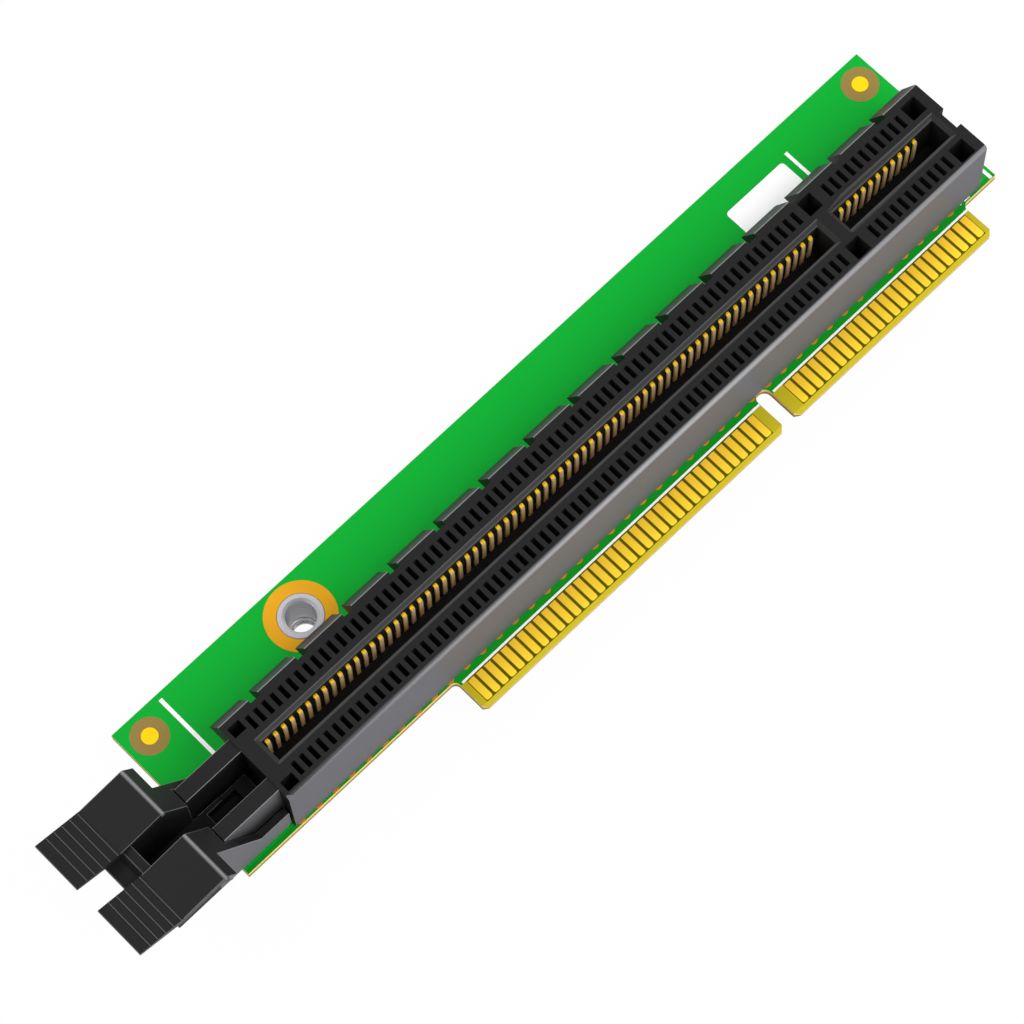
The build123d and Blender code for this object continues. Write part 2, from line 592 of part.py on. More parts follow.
# Latch lever, one moulding with two finger paddles, two cheeks, a tongue and two pivot pins
SLOPE_ANGLE = math.atan2(PADDLE_CREST_RISE, PADDLE_CREST_RUN)
TOP_ANGLE = math.atan2(PADDLE_VALLEY_DROP, PADDLE_CREST_X - PADDLE_VALLEY_X)
PADDLE_UNDER_Z = PADDLE_CREST_Z - PADDLE_T / math.cos(TOP_ANGLE)
GRIP_SLOPE = PADDLE_TIP_RISE / PADDLE_TIP_LENGTH
SLOPE_TOP = (PADDLE_FOOT_X, PADDLE_FOOT_Z)
UNDER_FOOT = (
    PADDLE_FOOT_X - PADDLE_T * math.sin(SLOPE_ANGLE),
    PADDLE_FOOT_Z - PADDLE_T * math.cos(SLOPE_ANGLE),
)
UNDER_CREST = (PADDLE_CREST_X - PADDLE_T / 2, PADDLE_UNDER_Z)
UNDER_VALLEY = (PADDLE_VALLEY_X, PADDLE_VALLEY_Z - PADDLE_T)
with BuildPart() as card_latch:
    # Paddles as one bent plate, split by the channel
    with BuildSketch(Plane.XZ) as paddle_side:
        with BuildLine():
            Polyline(
                SLOPE_TOP,
                (PADDLE_CREST_X, PADDLE_CREST_Z),
                (PADDLE_VALLEY_X, PADDLE_VALLEY_Z),
                (PADDLE_TIP_X, PADDLE_TIP_Z),
                (PADDLE_TIP_X, PADDLE_TIP_Z - PADDLE_TIP_T),
                UNDER_VALLEY,
                UNDER_CREST,
                UNDER_FOOT,
                close=True,
            )
        make_face()
        crest = paddle_side.vertices().filter_by_position(Axis.X, PADDLE_CREST_X, PADDLE_CREST_X)
        fillet(crest, PADDLE_CREST_R)
        for i in range(GRIP_COUNT):
            grip_x = PADDLE_TIP_X + GRIP_END_GAP + i * GRIP_PITCH
            grip_z = PADDLE_VALLEY_Z + GRIP_SLOPE * (PADDLE_VALLEY_X - grip_x)
            with BuildLine():
                Polyline(
                    (grip_x - GRIP_WIDTH / 2, grip_z - GRIP_H),
                    (grip_x - GRIP_WIDTH / 4, grip_z + GRIP_H),
                    (grip_x + GRIP_WIDTH / 4, grip_z + GRIP_H),
                    (grip_x + GRIP_WIDTH / 2, grip_z - GRIP_H),
                    close=True,
                )
            make_face()
    extrude(amount=PADDLE_HALF_Y, both=True)

    # Body under the paddles, with the cheeks beside the arms
    with BuildSketch(Plane.XZ):
        with BuildLine():
            Polyline(
                (LATCH_BACK_X, LATCH_BOTTOM_Z),
                (CHEEK_END_X - CHEEK_CHAMFER, LATCH_BOTTOM_Z),
                (CHEEK_END_X, LATCH_BOTTOM_Z + CHEEK_CHAMFER),
                (CHEEK_END_X, CHEEK_TOP_Z),
                (PADDLE_FOOT_X + CHEEK_SLOPE_RUN, CHEEK_TOP_Z),
                SLOPE_TOP,
                (PADDLE_CREST_X - PADDLE_T / 2, PADDLE_CREST_Z - PADDLE_T / 2),
                (LATCH_BACK_X, PADDLE_VALLEY_Z - PADDLE_T / 2),
                close=True,
            )
        make_face()
    extrude(amount=LATCH_HALF_Y, both=True)
    with BuildSketch(Plane.XZ):
        with Locations((LATCH_BACK_X, SHELF_TOP_Z)):
            Rectangle(SHELF_REACH, SHELF_T, align=(Align.MAX, Align.MAX))
    extrude(amount=LATCH_HALF_Y, both=True)

    # Channel between the paddles and slots for the arms
    with BuildSketch(Plane.XZ):
        with BuildLine():
            Polyline(
                (PADDLE_TIP_X, SHELF_TOP_Z),
                (SHELF_ROOT_X, SHELF_TOP_Z),
                (WEB_BACK_X, PADDLE_VALLEY_Z - WEB_BACK_DROP),
                (WEB_X, PADDLE_VALLEY_Z - WEB_DROP),
                (WEB_X, TONGUE_TOP_Z),
                (CHEEK_END_X, TONGUE_TOP_Z),
                (CHEEK_END_X, PADDLE_TIP_Z + GRIP_H),
                (PADDLE_TIP_X, PADDLE_TIP_Z + GRIP_H),
                close=True,
            )
        make_face()
    extrude(amount=LATCH_SLOT_Y_INNER, both=True, mode=Mode.SUBTRACT)
    with BuildSketch(Plane.XZ):
        with Locations((TONGUE_END_X, 0)):
            Rectangle(CHEEK_END_X - TONGUE_END_X, TONGUE_TOP_Z, align=(Align.MIN, Align.MIN))
    extrude(amount=LATCH_SLOT_Y_INNER, both=True, mode=Mode.SUBTRACT)
    with BuildSketch(Plane.XY):
        with Locations((LATCH_SLOT_X, LATCH_SLOT_Y_INNER)):
            Rectangle(
                CHEEK_END_X - LATCH_SLOT_X,
                LATCH_SLOT_Y_OUTER - LATCH_SLOT_Y_INNER,
                align=(Align.MIN, Align.MIN),
            )
        with Locations((LATCH_SLOT_X, -LATCH_SLOT_Y_INNER)):
            Rectangle(
                CHEEK_END_X - LATCH_SLOT_X,
                LATCH_SLOT_Y_OUTER - LATCH_SLOT_Y_INNER,
                align=(Align.MIN, Align.MAX),
            )
    extrude(amount=PADDLE_CREST_Z, mode=Mode.SUBTRACT)

    # Fill between the shelf and the web
    with BuildSketch(Plane.XZ):
        with BuildLine():
            Polyline(
                (LATCH_BACK_X, SHELF_TOP_Z),
                (SHELF_ROOT_X, SHELF_TOP_Z),
                (WEB_BACK_X, PADDLE_VALLEY_Z - WEB_BACK_DROP),
                (WEB_BACK_X, SHELF_TOP_Z),
                close=True,
            )
        make_face()
    extrude(amount=LATCH_HALF_Y, both=True)

    # Pocket in the tongue and the pivot pins
    with BuildSketch(Plane.XY.offset(TONGUE_TOP_Z)):
        with Locations((PIVOT_X - TONGUE_POCKET_START, 0)):
            Rectangle(
                TONGUE_END_X - TONGUE_POCKET_END_WALL - PIVOT_X + TONGUE_POCKET_START,
                2 * (LATCH_SLOT_Y_INNER - TONGUE_POCKET_SIDE_WALL),
                align=(Align.MIN, Align.CENTER),
            )
    extrude(amount=-TONGUE_POCKET_DEPTH, mode=Mode.SUBTRACT)
    with BuildSketch(Plane.XZ.offset(LATCH_SLOT_Y_INNER)):
        with Locations((PIVOT_X, PIVOT_Z)):
            Circle(PIN_R)
    extrude(amount=PIN_END_Y - LATCH_SLOT_Y_INNER)
    with BuildSketch(Plane.XZ.offset(-LATCH_SLOT_Y_INNER)):
        with Locations((PIVOT_X, PIVOT_Z)):
            Circle(PIN_R)
    extrude(amount=LATCH_SLOT_Y_INNER - PIN_END_Y)
card_latch.part.label = "card_latch"
export_step(card_latch.part, "parts/card_latch.step")
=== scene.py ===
import math

import bmesh
import bpy
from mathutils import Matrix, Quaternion, Vector


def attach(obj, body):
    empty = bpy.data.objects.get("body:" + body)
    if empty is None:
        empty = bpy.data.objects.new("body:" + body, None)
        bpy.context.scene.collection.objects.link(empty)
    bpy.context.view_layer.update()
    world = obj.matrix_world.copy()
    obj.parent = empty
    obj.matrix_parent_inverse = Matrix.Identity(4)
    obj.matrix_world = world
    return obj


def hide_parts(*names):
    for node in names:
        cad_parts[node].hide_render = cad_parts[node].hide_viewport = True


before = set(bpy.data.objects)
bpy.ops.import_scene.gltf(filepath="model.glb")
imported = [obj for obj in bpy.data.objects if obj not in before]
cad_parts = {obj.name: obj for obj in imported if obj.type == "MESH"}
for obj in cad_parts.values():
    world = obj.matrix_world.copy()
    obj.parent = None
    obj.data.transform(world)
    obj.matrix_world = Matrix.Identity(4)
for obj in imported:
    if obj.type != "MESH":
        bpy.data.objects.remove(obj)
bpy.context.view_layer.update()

MM = 0.001
CARD = "card"
LATCH = "latch"


def srgb(red, green, blue):
    """A colour written as 0 to 255 screen values, as linear values with alpha."""
    linear = []
    for level in (red, green, blue):
        part = level / 255
        linear.append(part / 12.92 if part <= 0.04045 else ((part + 0.055) / 1.055) ** 2.4)
    return (*linear, 1.0)


# Sizes in millimetres that the dressing shares with the solids
BOARD_T = 1.0
PLATING_EDGE_Y = -5.52
NUT_CENTRE = (11.57, 9.88)
NUT_SHANK_R = 2.25
NUT_BODY_R = 2.75
NUT_BOTTOM_Z = -6.0
NUT_BORE_R = 1.5
NUT_LIP_R = 1.25
NUT_LIP_TOP_Z = -5.5
NUT_TOP_Z = 0.1
SLOT_HALF_Y = 4.36
SLOT_TOP_Z = 8.74
RIB_FOOT_Z = 5.5
POCKET_EDGE_Y = 1.2
POCKET_LEAD = 0.45
CONTACT_PITCH = 1.0
LONG_CONTACTS = (0.0, 71)
SHORT_CONTACTS = (74.16, 11)
CONTACT_WIDTH = 0.42
TAIL_Y_OUTER = 3.6
TAIL_Y_INNER = 1.9
FIDUCIALS = ((-6.28, 11.22), (87.85, 11.22))
FINGER_PITCH = 1.05
FINGER_WIDTH = 0.75
FINGER_LENGTH = 2.6
FINGER_T = 0.04
FINGER_Y = -8.25
LONG_FINGERS = (18.5, 36)
SHORT_FINGERS = (60.25, 24)

# Colours of the plastics, the metals, the board and its print
BLACK = srgb(31, 31, 32)
# Paler grey on the outer side walls: painted light standing in for front light and its reflection
LIT_WALL_GREY = srgb(95, 94, 99)
# Pale grey on edges, lips and ridges: painted highlight
HIGHLIGHT_GREY = srgb(156, 156, 158)
FINGER_TIP_GOLD = srgb(255, 219, 52)
FINGER_ROOT_GOLD = srgb(244, 192, 46)
# Darker tan at the contacts' feet: painted shade deep in the pocket
SHADED_CONTACT_FOOT_TAN = srgb(240, 200, 140)
CONTACT_LEG_TAN = srgb(255, 228, 170)
CONTACT_TIP_GOLD = srgb(255, 206, 24)
NUT_BORE_GREY = srgb(216, 216, 218)
NUT_RING_GREY = srgb(194, 194, 199)
PAD_GOLD = (srgb(226, 163, 24), srgb(218, 156, 22))
TAIL_GOLD = (srgb(214, 146, 30), srgb(198, 132, 26))
FIDUCIAL_GOLD = (srgb(252, 214, 3), srgb(252, 206, 3))
SOLDER_GREY = (srgb(188, 190, 192), srgb(160, 162, 166))
MASK_GREEN = srgb(8, 165, 48)
# Darker green before the housing: painted shade cast by the housing
FRONT_SHADE_GREEN = srgb(13, 144, 31)
TAB_OLIVE = srgb(188, 172, 32)
SEAM_OLIVE = srgb(92, 84, 6)
BEVEL_OLIVE = srgb(182, 164, 28)
CORE_BROWNS = (srgb(138, 104, 30), srgb(164, 128, 44))
SKIN_CREAMS = (srgb(212, 186, 110), srgb(232, 208, 136))
WINDOW_BROWN = srgb(143, 118, 54)
INK_WHITE = srgb(254, 254, 254)

# Where the colours change, in millimetres
# The face layer holds how strong each face's painted highlight is
EDGE_LAYER = "painted_edge_highlight"
SEAM_WIDTH = 0.08
# Where the painted light on the walls, arms and cheeks lies; rear walls and arms darken downwards as painted
# shade
SLOT_WALL_Y = 4.2
RIB_PALE_Z = SLOT_TOP_Z + 3.6
ARM_END_X = -2.6
ARM_SIDE_Y = 3.2
ARM_SHADE_Z = (4.6, 9.6)
# Band of painted highlight on the front top edge, and where along the edge it rises and falls
FRONT_EDGE_Z = (7.85, 8.55)
FRONT_EDGE_Y = (-4.15, -4.5)
GLINT_FROM_X = (-8.0, 40.0)
GLINT_TO_X = (115.0, 50.0)
CHEEK_WALL_Y = 4.1
CHEEK_PALE_X = -11.5
CREST = (-11.86, 11.6)
# Half width and strength of the painted highlight on the paddles' crest
CREST_FADE = 0.26
CREST_HIGHLIGHT = 0.62
CONTACT_LEG_Z = (3.0, 6.6)
CONTACT_TIP_Z = (6.98, 7.08)
NUT_RING_R = (NUT_BORE_R + 0.02, NUT_BORE_R + 0.1)
NUT_FINISH = {"Metallic": (0.8, 0.3), "Roughness": (0.34, 0.48)}
BOARD_CORE_Z = (-0.6, -0.4)


# Shader groups shared by the materials


def new_group(name, inputs, outputs):
    """A shader group with named float, vector or colour sockets; gives the tree and its two end nodes."""
    tree = bpy.data.node_groups.new(name, "ShaderNodeTree")
    for label, kind, value in inputs:
        socket = tree.interface.new_socket(name=label, in_out="INPUT", socket_type=kind)
        if value is not None:
            socket.default_value = value
    for label, kind in outputs:
        tree.interface.new_socket(name=label, in_out="OUTPUT", socket_type=kind)
    return tree, tree.nodes.new("NodeGroupInput"), tree.nodes.new("NodeGroupOutput")


def add_math(tree, operation, first, second=None, third=None):
    """A math node whose operands are sockets or numbers; gives its output."""
    node = tree.nodes.new("ShaderNodeMath")
    node.operation = operation
    for place, operand in enumerate((first, second, third)):
        if operand is None:
            continue
        if isinstance(operand, (int, float)):
            node.inputs[place].default_value = operand
        else:
            tree.links.new(operand, node.inputs[place])
    return node.outputs[0]


def add_noise(tree, vector, scale, detail, roughness):
    """A noise texture's value on a vector socket; scale may be a socket or a number."""
    node = tree.nodes.new("ShaderNodeTexNoise")
    tree.links.new(vector, node.inputs["Vector"])
    if isinstance(scale, (int, float)):
        node.inputs["Scale"].default_value = scale
    else:
        tree.links.new(scale, node.inputs["Scale"])
    node.inputs["Detail"].default_value = detail
    node.inputs["Roughness"].default_value = roughness
    return node.outputs["Fac"]


def build_mottle_group():
    """Soft uneven tone and gloss: a coarse cloud for the tone and a fine grain for the surface."""
    tree, given, out = new_group(
        "uneven_finish",
        [
            ("Vector", "NodeSocketVector", None),
            ("Cloud Scale", "NodeSocketFloat", 120.0),
            ("Grain Scale", "NodeSocketFloat", 4000.0),
            ("Tone Spread", "NodeSocketFloat", 0.1),
            ("Roughness", "NodeSocketFloat", 0.4),
            ("Gloss Spread", "NodeSocketFloat", 0.08),
        ],
        [("Tone", "NodeSocketFloat"), ("Roughness", "NodeSocketFloat"), ("Grain", "NodeSocketFloat")],
    )
    cloud = add_noise(tree, given.outputs["Vector"], given.outputs["Cloud Scale"], detail=3.0, roughness=0.55)
    grain = add_noise(tree, given.outputs["Vector"], given.outputs["Grain Scale"], detail=2.0, roughness=0.5)
    centred = add_math(tree, "SUBTRACT", cloud, 0.5)
    tone = add_math(tree, "MULTIPLY_ADD", centred, given.outputs["Tone Spread"], 1.0)
    shifted = add_math(tree, "SUBTRACT", grain, 0.5)
    gloss = add_math(tree, "ADD", centred, shifted)
    rough = add_math(tree, "MULTIPLY_ADD", gloss, given.outputs["Gloss Spread"], given.outputs["Roughness"])
    tree.links.new(tone, out.inputs["Tone"])
    tree.links.new(rough, out.inputs["Roughness"])
    tree.links.new(grain, out.inputs["Grain"])
    return tree


def build_direction_group():
    """Masks of faces by where they point on the piece itself: flat, upright and sideways."""
    flat_from = 0.95
    turn_point = 0.5
    tree, given, out = new_group(
        "face_direction",
        [("Normal", "NodeSocketVector", None)],
        [("Flat", "NodeSocketFloat"), ("Upright", "NodeSocketFloat"), ("Sideways", "NodeSocketFloat")],
    )
    parts = tree.nodes.new("ShaderNodeSeparateXYZ")
    tree.links.new(given.outputs["Normal"], parts.inputs[0])
    height = add_math(tree, "ABSOLUTE", parts.outputs["Z"])
    flat = add_math(tree, "GREATER_THAN", height, flat_from)
    upright = add_math(tree, "LESS_THAN", height, turn_point)
    sideways = add_math(tree, "GREATER_THAN", add_math(tree, "ABSOLUTE", parts.outputs["Y"]), turn_point)
    tree.links.new(flat, out.inputs["Flat"])
    tree.links.new(upright, out.inputs["Upright"])
    tree.links.new(sideways, out.inputs["Sideways"])
    return tree


def build_tint_group():
    """Darkens or brightens a colour by a tone factor around 1."""
    tree, given, out = new_group(
        "toned_colour",
        [("Colour", "NodeSocketColor", (0.5, 0.5, 0.5, 1.0)), ("Tone", "NodeSocketFloat", 1.0)],
        [("Colour", "NodeSocketColor")],
    )
    scaled = tree.nodes.new("ShaderNodeVectorMath")
    scaled.operation = "SCALE"
    tree.links.new(given.outputs["Colour"], scaled.inputs[0])
    tree.links.new(given.outputs["Tone"], scaled.inputs["Scale"])
    tree.links.new(scaled.outputs[0], out.inputs["Colour"])
    return tree


mottle_group = build_mottle_group()
direction_group = build_direction_group()
tint_group = build_tint_group()


class Finish:
    """One material under construction: its tree, shader and object coordinates."""

    def __init__(self, name):
        self.material = bpy.data.materials.new(name)
        self.material.use_nodes = True
        self.tree = self.material.node_tree
        self.shader = self.tree.nodes["Principled BSDF"]
        coordinates = self.tree.nodes.new("ShaderNodeTexCoord")
        self.place = coordinates.outputs["Object"]
        self.normal = coordinates.outputs["Normal"]

    def group(self, tree, **values):
        """A group node in this material with its inputs set by value or linked by socket."""
        node = self.tree.nodes.new("ShaderNodeGroup")
        node.node_tree = tree
        for label, value in values.items():
            socket = node.inputs[label.replace("_", " ")]
            if isinstance(value, bpy.types.NodeSocket):
                self.tree.links.new(value, socket)
            else:
                socket.default_value = value
        return node

    def mottle(self, **values):
        """The uneven finish on this material's object coordinates, linked to the shader's roughness."""
        node = self.group(mottle_group, Vector=self.place, **values)
        self.tree.links.new(node.outputs["Roughness"], self.shader.inputs["Roughness"])
        return node

    def mix(self, mask, first, second):
        """A colour mixed from two colours or sockets by a mask socket."""
        node = self.tree.nodes.new("ShaderNodeMix")
        node.data_type = "RGBA"
        self.tree.links.new(mask, node.inputs[0])
        sockets = [s for s in node.inputs if s.type == "RGBA"]
        for socket, value in zip(sockets, (first, second)):
            if isinstance(value, bpy.types.NodeSocket):
                self.tree.links.new(value, socket)
            else:
                socket.default_value = value
        return [s for s in node.outputs if s.type == "RGBA"][0]

    def tinted(self, colour, tone):
        """The base colour as a colour or socket times a tone socket, linked to the shader."""
        node = self.group(tint_group, Colour=colour, Tone=tone)
        self.tree.links.new(node.outputs["Colour"], self.shader.inputs["Base Color"])

    def along(self, axis):
        """The object coordinate along one axis, as a socket in metres."""
        node = self.tree.nodes.new("ShaderNodeSeparateXYZ")
        self.tree.links.new(self.place, node.inputs[0])
        return node.outputs[axis]

    def ramp(self, value, low, high):
        """0 at the low value, 1 at the high value, in between by distance; the ends are in millimetres."""
        node = self.tree.nodes.new("ShaderNodeMapRange")
        node.inputs["From Min"].default_value = low * MM
        node.inputs["From Max"].default_value = high * MM
        self.tree.links.new(value, node.inputs["Value"])
        return node.outputs[0]

    def between(self, value, low, high):
        """1 where a coordinate lies between two places in millimetres, else 0."""
        above = add_math(self.tree, "GREATER_THAN", value, low * MM)
        below = add_math(self.tree, "LESS_THAN", value, high * MM)
        return add_math(self.tree, "MULTIPLY", above, below)

    def bump(self, height, strength, distance):
        """A bump from a height socket, with its distance in metres, linked to the shader's normal."""
        node = self.tree.nodes.new("ShaderNodeBump")
        node.inputs["Strength"].default_value = strength
        node.inputs["Distance"].default_value = distance
        self.tree.links.new(height, node.inputs["Height"])
        self.tree.links.new(node.outputs["Normal"], self.shader.inputs["Normal"])

    def settings(self, **values):
        """Plain values on the shader's own sockets."""
        for label, value in values.items():
            self.shader.inputs[label.replace("_", " ")].default_value = value


def start_moulding(name, roughness):
    """A dark moulding's material with fine grain, and its tone, side faces and painted-highlight places as
    masks.
    """
    finish = Finish(name)
    finish.settings(Specular_IOR_Level=0.12)
    uneven = finish.mottle(
        Cloud_Scale=90.0, Grain_Scale=5200.0, Tone_Spread=0.16, Roughness=roughness, Gloss_Spread=0.08
    )
    facing = finish.group(direction_group, Normal=finish.normal)
    marked = finish.tree.nodes.new("ShaderNodeAttribute")
    marked.attribute_name = EDGE_LAYER
    return finish, uneven, facing.outputs["Sideways"], marked.outputs["Fac"]


def end_moulding(finish, uneven, painted_light, highlighted):
    """Mixes black, the walls' painted-light grey and the edges' painted-highlight grey by two masks; gives
    the finished material.
    """
    moulded = finish.mix(painted_light, BLACK, LIT_WALL_GREY)
    colour = finish.mix(highlighted, moulded, HIGHLIGHT_GREY)
    finish.tinted(colour, uneven.outputs["Tone"])
    finish.bump(uneven.outputs["Grain"], strength=0.2, distance=0.00002)
    return finish.material


def housing_moulding():
    """Outer walls painted paler as painted light, with painted shade that darkens the rear walls towards
    their foot and the arms downwards, and a painted highlight along the middle of the front top edge.
    """
    finish, uneven, sideways, highlighted = start_moulding("housing_plastic", 0.45)
    tree = finish.tree
    along = finish.along("X")
    across = finish.along("Y")
    height = finish.along("Z")
    reach = add_math(tree, "ABSOLUTE", across)
    outside = add_math(tree, "GREATER_THAN", reach, SLOT_WALL_Y * MM)
    front = add_math(tree, "LESS_THAN", across, 0.0)
    # Front walls take the full painted light; rear walls get painted shade that darkens them towards their
    # foot
    shade = add_math(tree, "MAXIMUM", front, finish.ramp(height, RIB_FOOT_Z, RIB_PALE_Z))
    wall = add_math(tree, "MULTIPLY", outside, shade)
    # The arms' outer sides get painted light that turns into painted shade lower down
    beyond = add_math(tree, "LESS_THAN", along, ARM_END_X * MM)
    on_arm = add_math(tree, "MULTIPLY", beyond, add_math(tree, "GREATER_THAN", reach, ARM_SIDE_Y * MM))
    arm = add_math(tree, "MULTIPLY", on_arm, finish.ramp(height, *ARM_SHADE_Z))
    painted_light = add_math(tree, "MULTIPLY", add_math(tree, "MAXIMUM", wall, arm), sideways)
    # A painted highlight along the front top edge, strongest in its middle
    glint_along = add_math(tree, "MINIMUM", finish.ramp(along, *GLINT_FROM_X), finish.ramp(along, *GLINT_TO_X))
    edge = add_math(tree, "MULTIPLY", finish.ramp(height, *FRONT_EDGE_Z), finish.ramp(across, *FRONT_EDGE_Y))
    edge = add_math(tree, "MULTIPLY", edge, glint_along)
    return end_moulding(finish, uneven, painted_light, add_math(tree, "MAXIMUM", highlighted, edge))


def latch_moulding():
    """Outer cheeks painted paler as painted light, dark paddles and a painted highlight line along the crest
    of the paddles.
    """
    finish, uneven, sideways, highlighted = start_moulding("latch_plastic", 0.4)
    tree = finish.tree
    along = finish.along("X")
    height = finish.along("Z")
    # The cheeks' outer sides get painted light
    outside = add_math(tree, "GREATER_THAN", add_math(tree, "ABSOLUTE", finish.along("Y")), CHEEK_WALL_Y * MM)
    before = add_math(tree, "GREATER_THAN", along, CHEEK_PALE_X * MM)
    painted_light = add_math(tree, "MULTIPLY", add_math(tree, "MULTIPLY", outside, before), sideways)
    # A painted highlight along the crest of the paddles
    offset = add_math(tree, "ABSOLUTE", add_math(tree, "SUBTRACT", along, CREST[0] * MM))
    high = add_math(tree, "GREATER_THAN", height, CREST[1] * MM)
    band = add_math(tree, "MULTIPLY", finish.ramp(offset, CREST_FADE, 0.0), high)
    crest = add_math(tree, "MULTIPLY", band, CREST_HIGHLIGHT)
    return end_moulding(finish, uneven, painted_light, add_math(tree, "MAXIMUM", highlighted, crest))


def plated_metal(name, colours, roughness, metallic, cloud_scale):
    """Plating whose colour drifts between two golds or greys over a soft cloud."""
    drift_scale = 0.4 * cloud_scale
    drift_range = (0.35, 0.65)
    finish = Finish(name)
    finish.settings(Metallic=metallic, Specular_IOR_Level=0.15)
    uneven = finish.mottle(
        Cloud_Scale=cloud_scale, Grain_Scale=9000.0, Tone_Spread=0.16, Roughness=roughness, Gloss_Spread=0.12
    )
    drift = add_noise(finish.tree, finish.place, drift_scale, detail=2.0, roughness=0.5)
    spread = finish.tree.nodes.new("ShaderNodeMapRange")
    spread.inputs["From Min"].default_value = drift_range[0]
    spread.inputs["From Max"].default_value = drift_range[1]
    finish.tree.links.new(drift, spread.inputs["Value"])
    colour = finish.mix(spread.outputs[0], *colours)
    finish.tinted(colour, uneven.outputs["Tone"])
    finish.bump(uneven.outputs["Grain"], strength=0.12, distance=0.00001)
    return finish.material


def finger_metal():
    """Gold on the edge fingers, a little deeper in tone towards their roots."""
    finish = Finish("finger_plating")
    finish.settings(Metallic=0.05, Specular_IOR_Level=0.2)
    uneven = finish.mottle(
        Cloud_Scale=260.0, Grain_Scale=9000.0, Tone_Spread=0.1, Roughness=0.4, Gloss_Spread=0.12
    )
    rootward = finish.ramp(finish.along("Y"), FINGER_Y, FINGER_Y + FINGER_LENGTH)
    colour = finish.mix(rootward, FINGER_TIP_GOLD, FINGER_ROOT_GOLD)
    finish.tinted(colour, uneven.outputs["Tone"])
    finish.bump(uneven.outputs["Grain"], strength=0.12, distance=0.00001)
    return finish.material


def spring_plating():
    """Gold on the contacts: bright on the bent tips and tan down the legs, darkening towards the foot as
    painted shade inside the pocket.
    """
    finish = Finish("contact_plating")
    finish.settings(Metallic=0.1, Specular_IOR_Level=0.3)
    uneven = finish.mottle(
        Cloud_Scale=900.0, Grain_Scale=9000.0, Tone_Spread=0.2, Roughness=0.4, Gloss_Spread=0.12
    )
    height = finish.along("Z")
    # Painted shade: the legs darken towards the foot
    leg = finish.mix(finish.ramp(height, *CONTACT_LEG_Z), SHADED_CONTACT_FOOT_TAN, CONTACT_LEG_TAN)
    colour = finish.mix(finish.ramp(height, *CONTACT_TIP_Z), leg, CONTACT_TIP_GOLD)
    finish.tinted(colour, uneven.outputs["Tone"])
    finish.bump(uneven.outputs["Grain"], strength=0.12, distance=0.00001)
    return finish.material


def nut_metal():
    """Tin plating: a soft pale ring on top and a shinier turned bore."""
    finish = Finish("nut_plating")
    finish.settings(Specular_IOR_Level=0.4)
    uneven = finish.group(
        mottle_group, Vector=finish.place, Cloud_Scale=500.0, Grain_Scale=9000.0, Tone_Spread=0.1
    )
    centred = finish.tree.nodes.new("ShaderNodeVectorMath")
    centred.operation = "SUBTRACT"
    centred.inputs[1].default_value = (NUT_CENTRE[0] * MM, NUT_CENTRE[1] * MM, 0.0)
    finish.tree.links.new(finish.place, centred.inputs[0])
    parts = finish.tree.nodes.new("ShaderNodeSeparateXYZ")
    finish.tree.links.new(centred.outputs[0], parts.inputs[0])
    square = add_math(finish.tree, "MULTIPLY", parts.outputs["X"], parts.outputs["X"])
    total = add_math(finish.tree, "MULTIPLY_ADD", parts.outputs["Y"], parts.outputs["Y"], square)
    radius = add_math(finish.tree, "SQRT", total)
    ring = finish.ramp(radius, *NUT_RING_R)
    for label, (in_bore, on_ring) in NUT_FINISH.items():
        level = add_math(finish.tree, "MULTIPLY_ADD", ring, on_ring - in_bore, in_bore)
        finish.tree.links.new(level, finish.shader.inputs[label])
    colour = finish.mix(ring, NUT_BORE_GREY, NUT_RING_GREY)
    finish.tinted(colour, uneven.outputs["Tone"])
    finish.bump(uneven.outputs["Grain"], strength=0.08, distance=0.00001)
    return finish.material


def board_laminate():
    """Green mask on the board, darker in the strip before the housing as painted shade, bare laminate on the
    tabs, dark between the fingers and cream cut edges.
    """
    finish = Finish("board_laminate")
    finish.settings(Specular_IOR_Level=0.08)
    uneven = finish.mottle(
        Cloud_Scale=45.0, Grain_Scale=3500.0, Tone_Spread=0.06, Roughness=0.45, Gloss_Spread=0.06
    )
    along = finish.along("X")
    across = finish.along("Y")
    on_tab = add_math(finish.tree, "LESS_THAN", across, PLATING_EDGE_Y * MM)
    facing = finish.group(direction_group, Normal=finish.normal)
    rows = []
    for first, count in (LONG_FINGERS, SHORT_FINGERS):
        low = first - FINGER_WIDTH / 2 - SEAM_WIDTH
        high = first + (count - 1) * FINGER_PITCH + FINGER_WIDTH / 2 + SEAM_WIDTH
        rows.append(finish.between(along, low, high))
    row = add_math(finish.tree, "MAXIMUM", rows[0], rows[1])
    depth = finish.between(across, FINGER_Y - SEAM_WIDTH, PLATING_EDGE_Y)
    gap = add_math(finish.tree, "MULTIPLY", row, depth)
    tab = finish.mix(gap, TAB_OLIVE, SEAM_OLIVE)
    # Painted shade: a darker green strip between the housing and the tab
    in_front = add_math(finish.tree, "LESS_THAN", across, -SLOT_HALF_Y * MM)
    mask = finish.mix(in_front, MASK_GREEN, FRONT_SHADE_GREEN)
    top = finish.mix(on_tab, mask, tab)
    not_flat = add_math(finish.tree, "SUBTRACT", 1.0, facing.outputs["Flat"])
    bevelled = finish.mix(not_flat, top, BEVEL_OLIVE)
    upper = finish.ramp(finish.along("Z"), *BOARD_CORE_Z)
    fibres = add_noise(finish.tree, finish.place, 2600.0, detail=3.0, roughness=0.6)
    core = finish.mix(fibres, *CORE_BROWNS)
    skin = finish.mix(fibres, *SKIN_CREAMS)
    edge = finish.mix(upper, core, skin)
    colour = finish.mix(facing.outputs["Upright"], bevelled, edge)
    finish.tinted(colour, uneven.outputs["Tone"])
    finish.bump(uneven.outputs["Grain"], strength=0.08, distance=0.00001)
    return finish.material


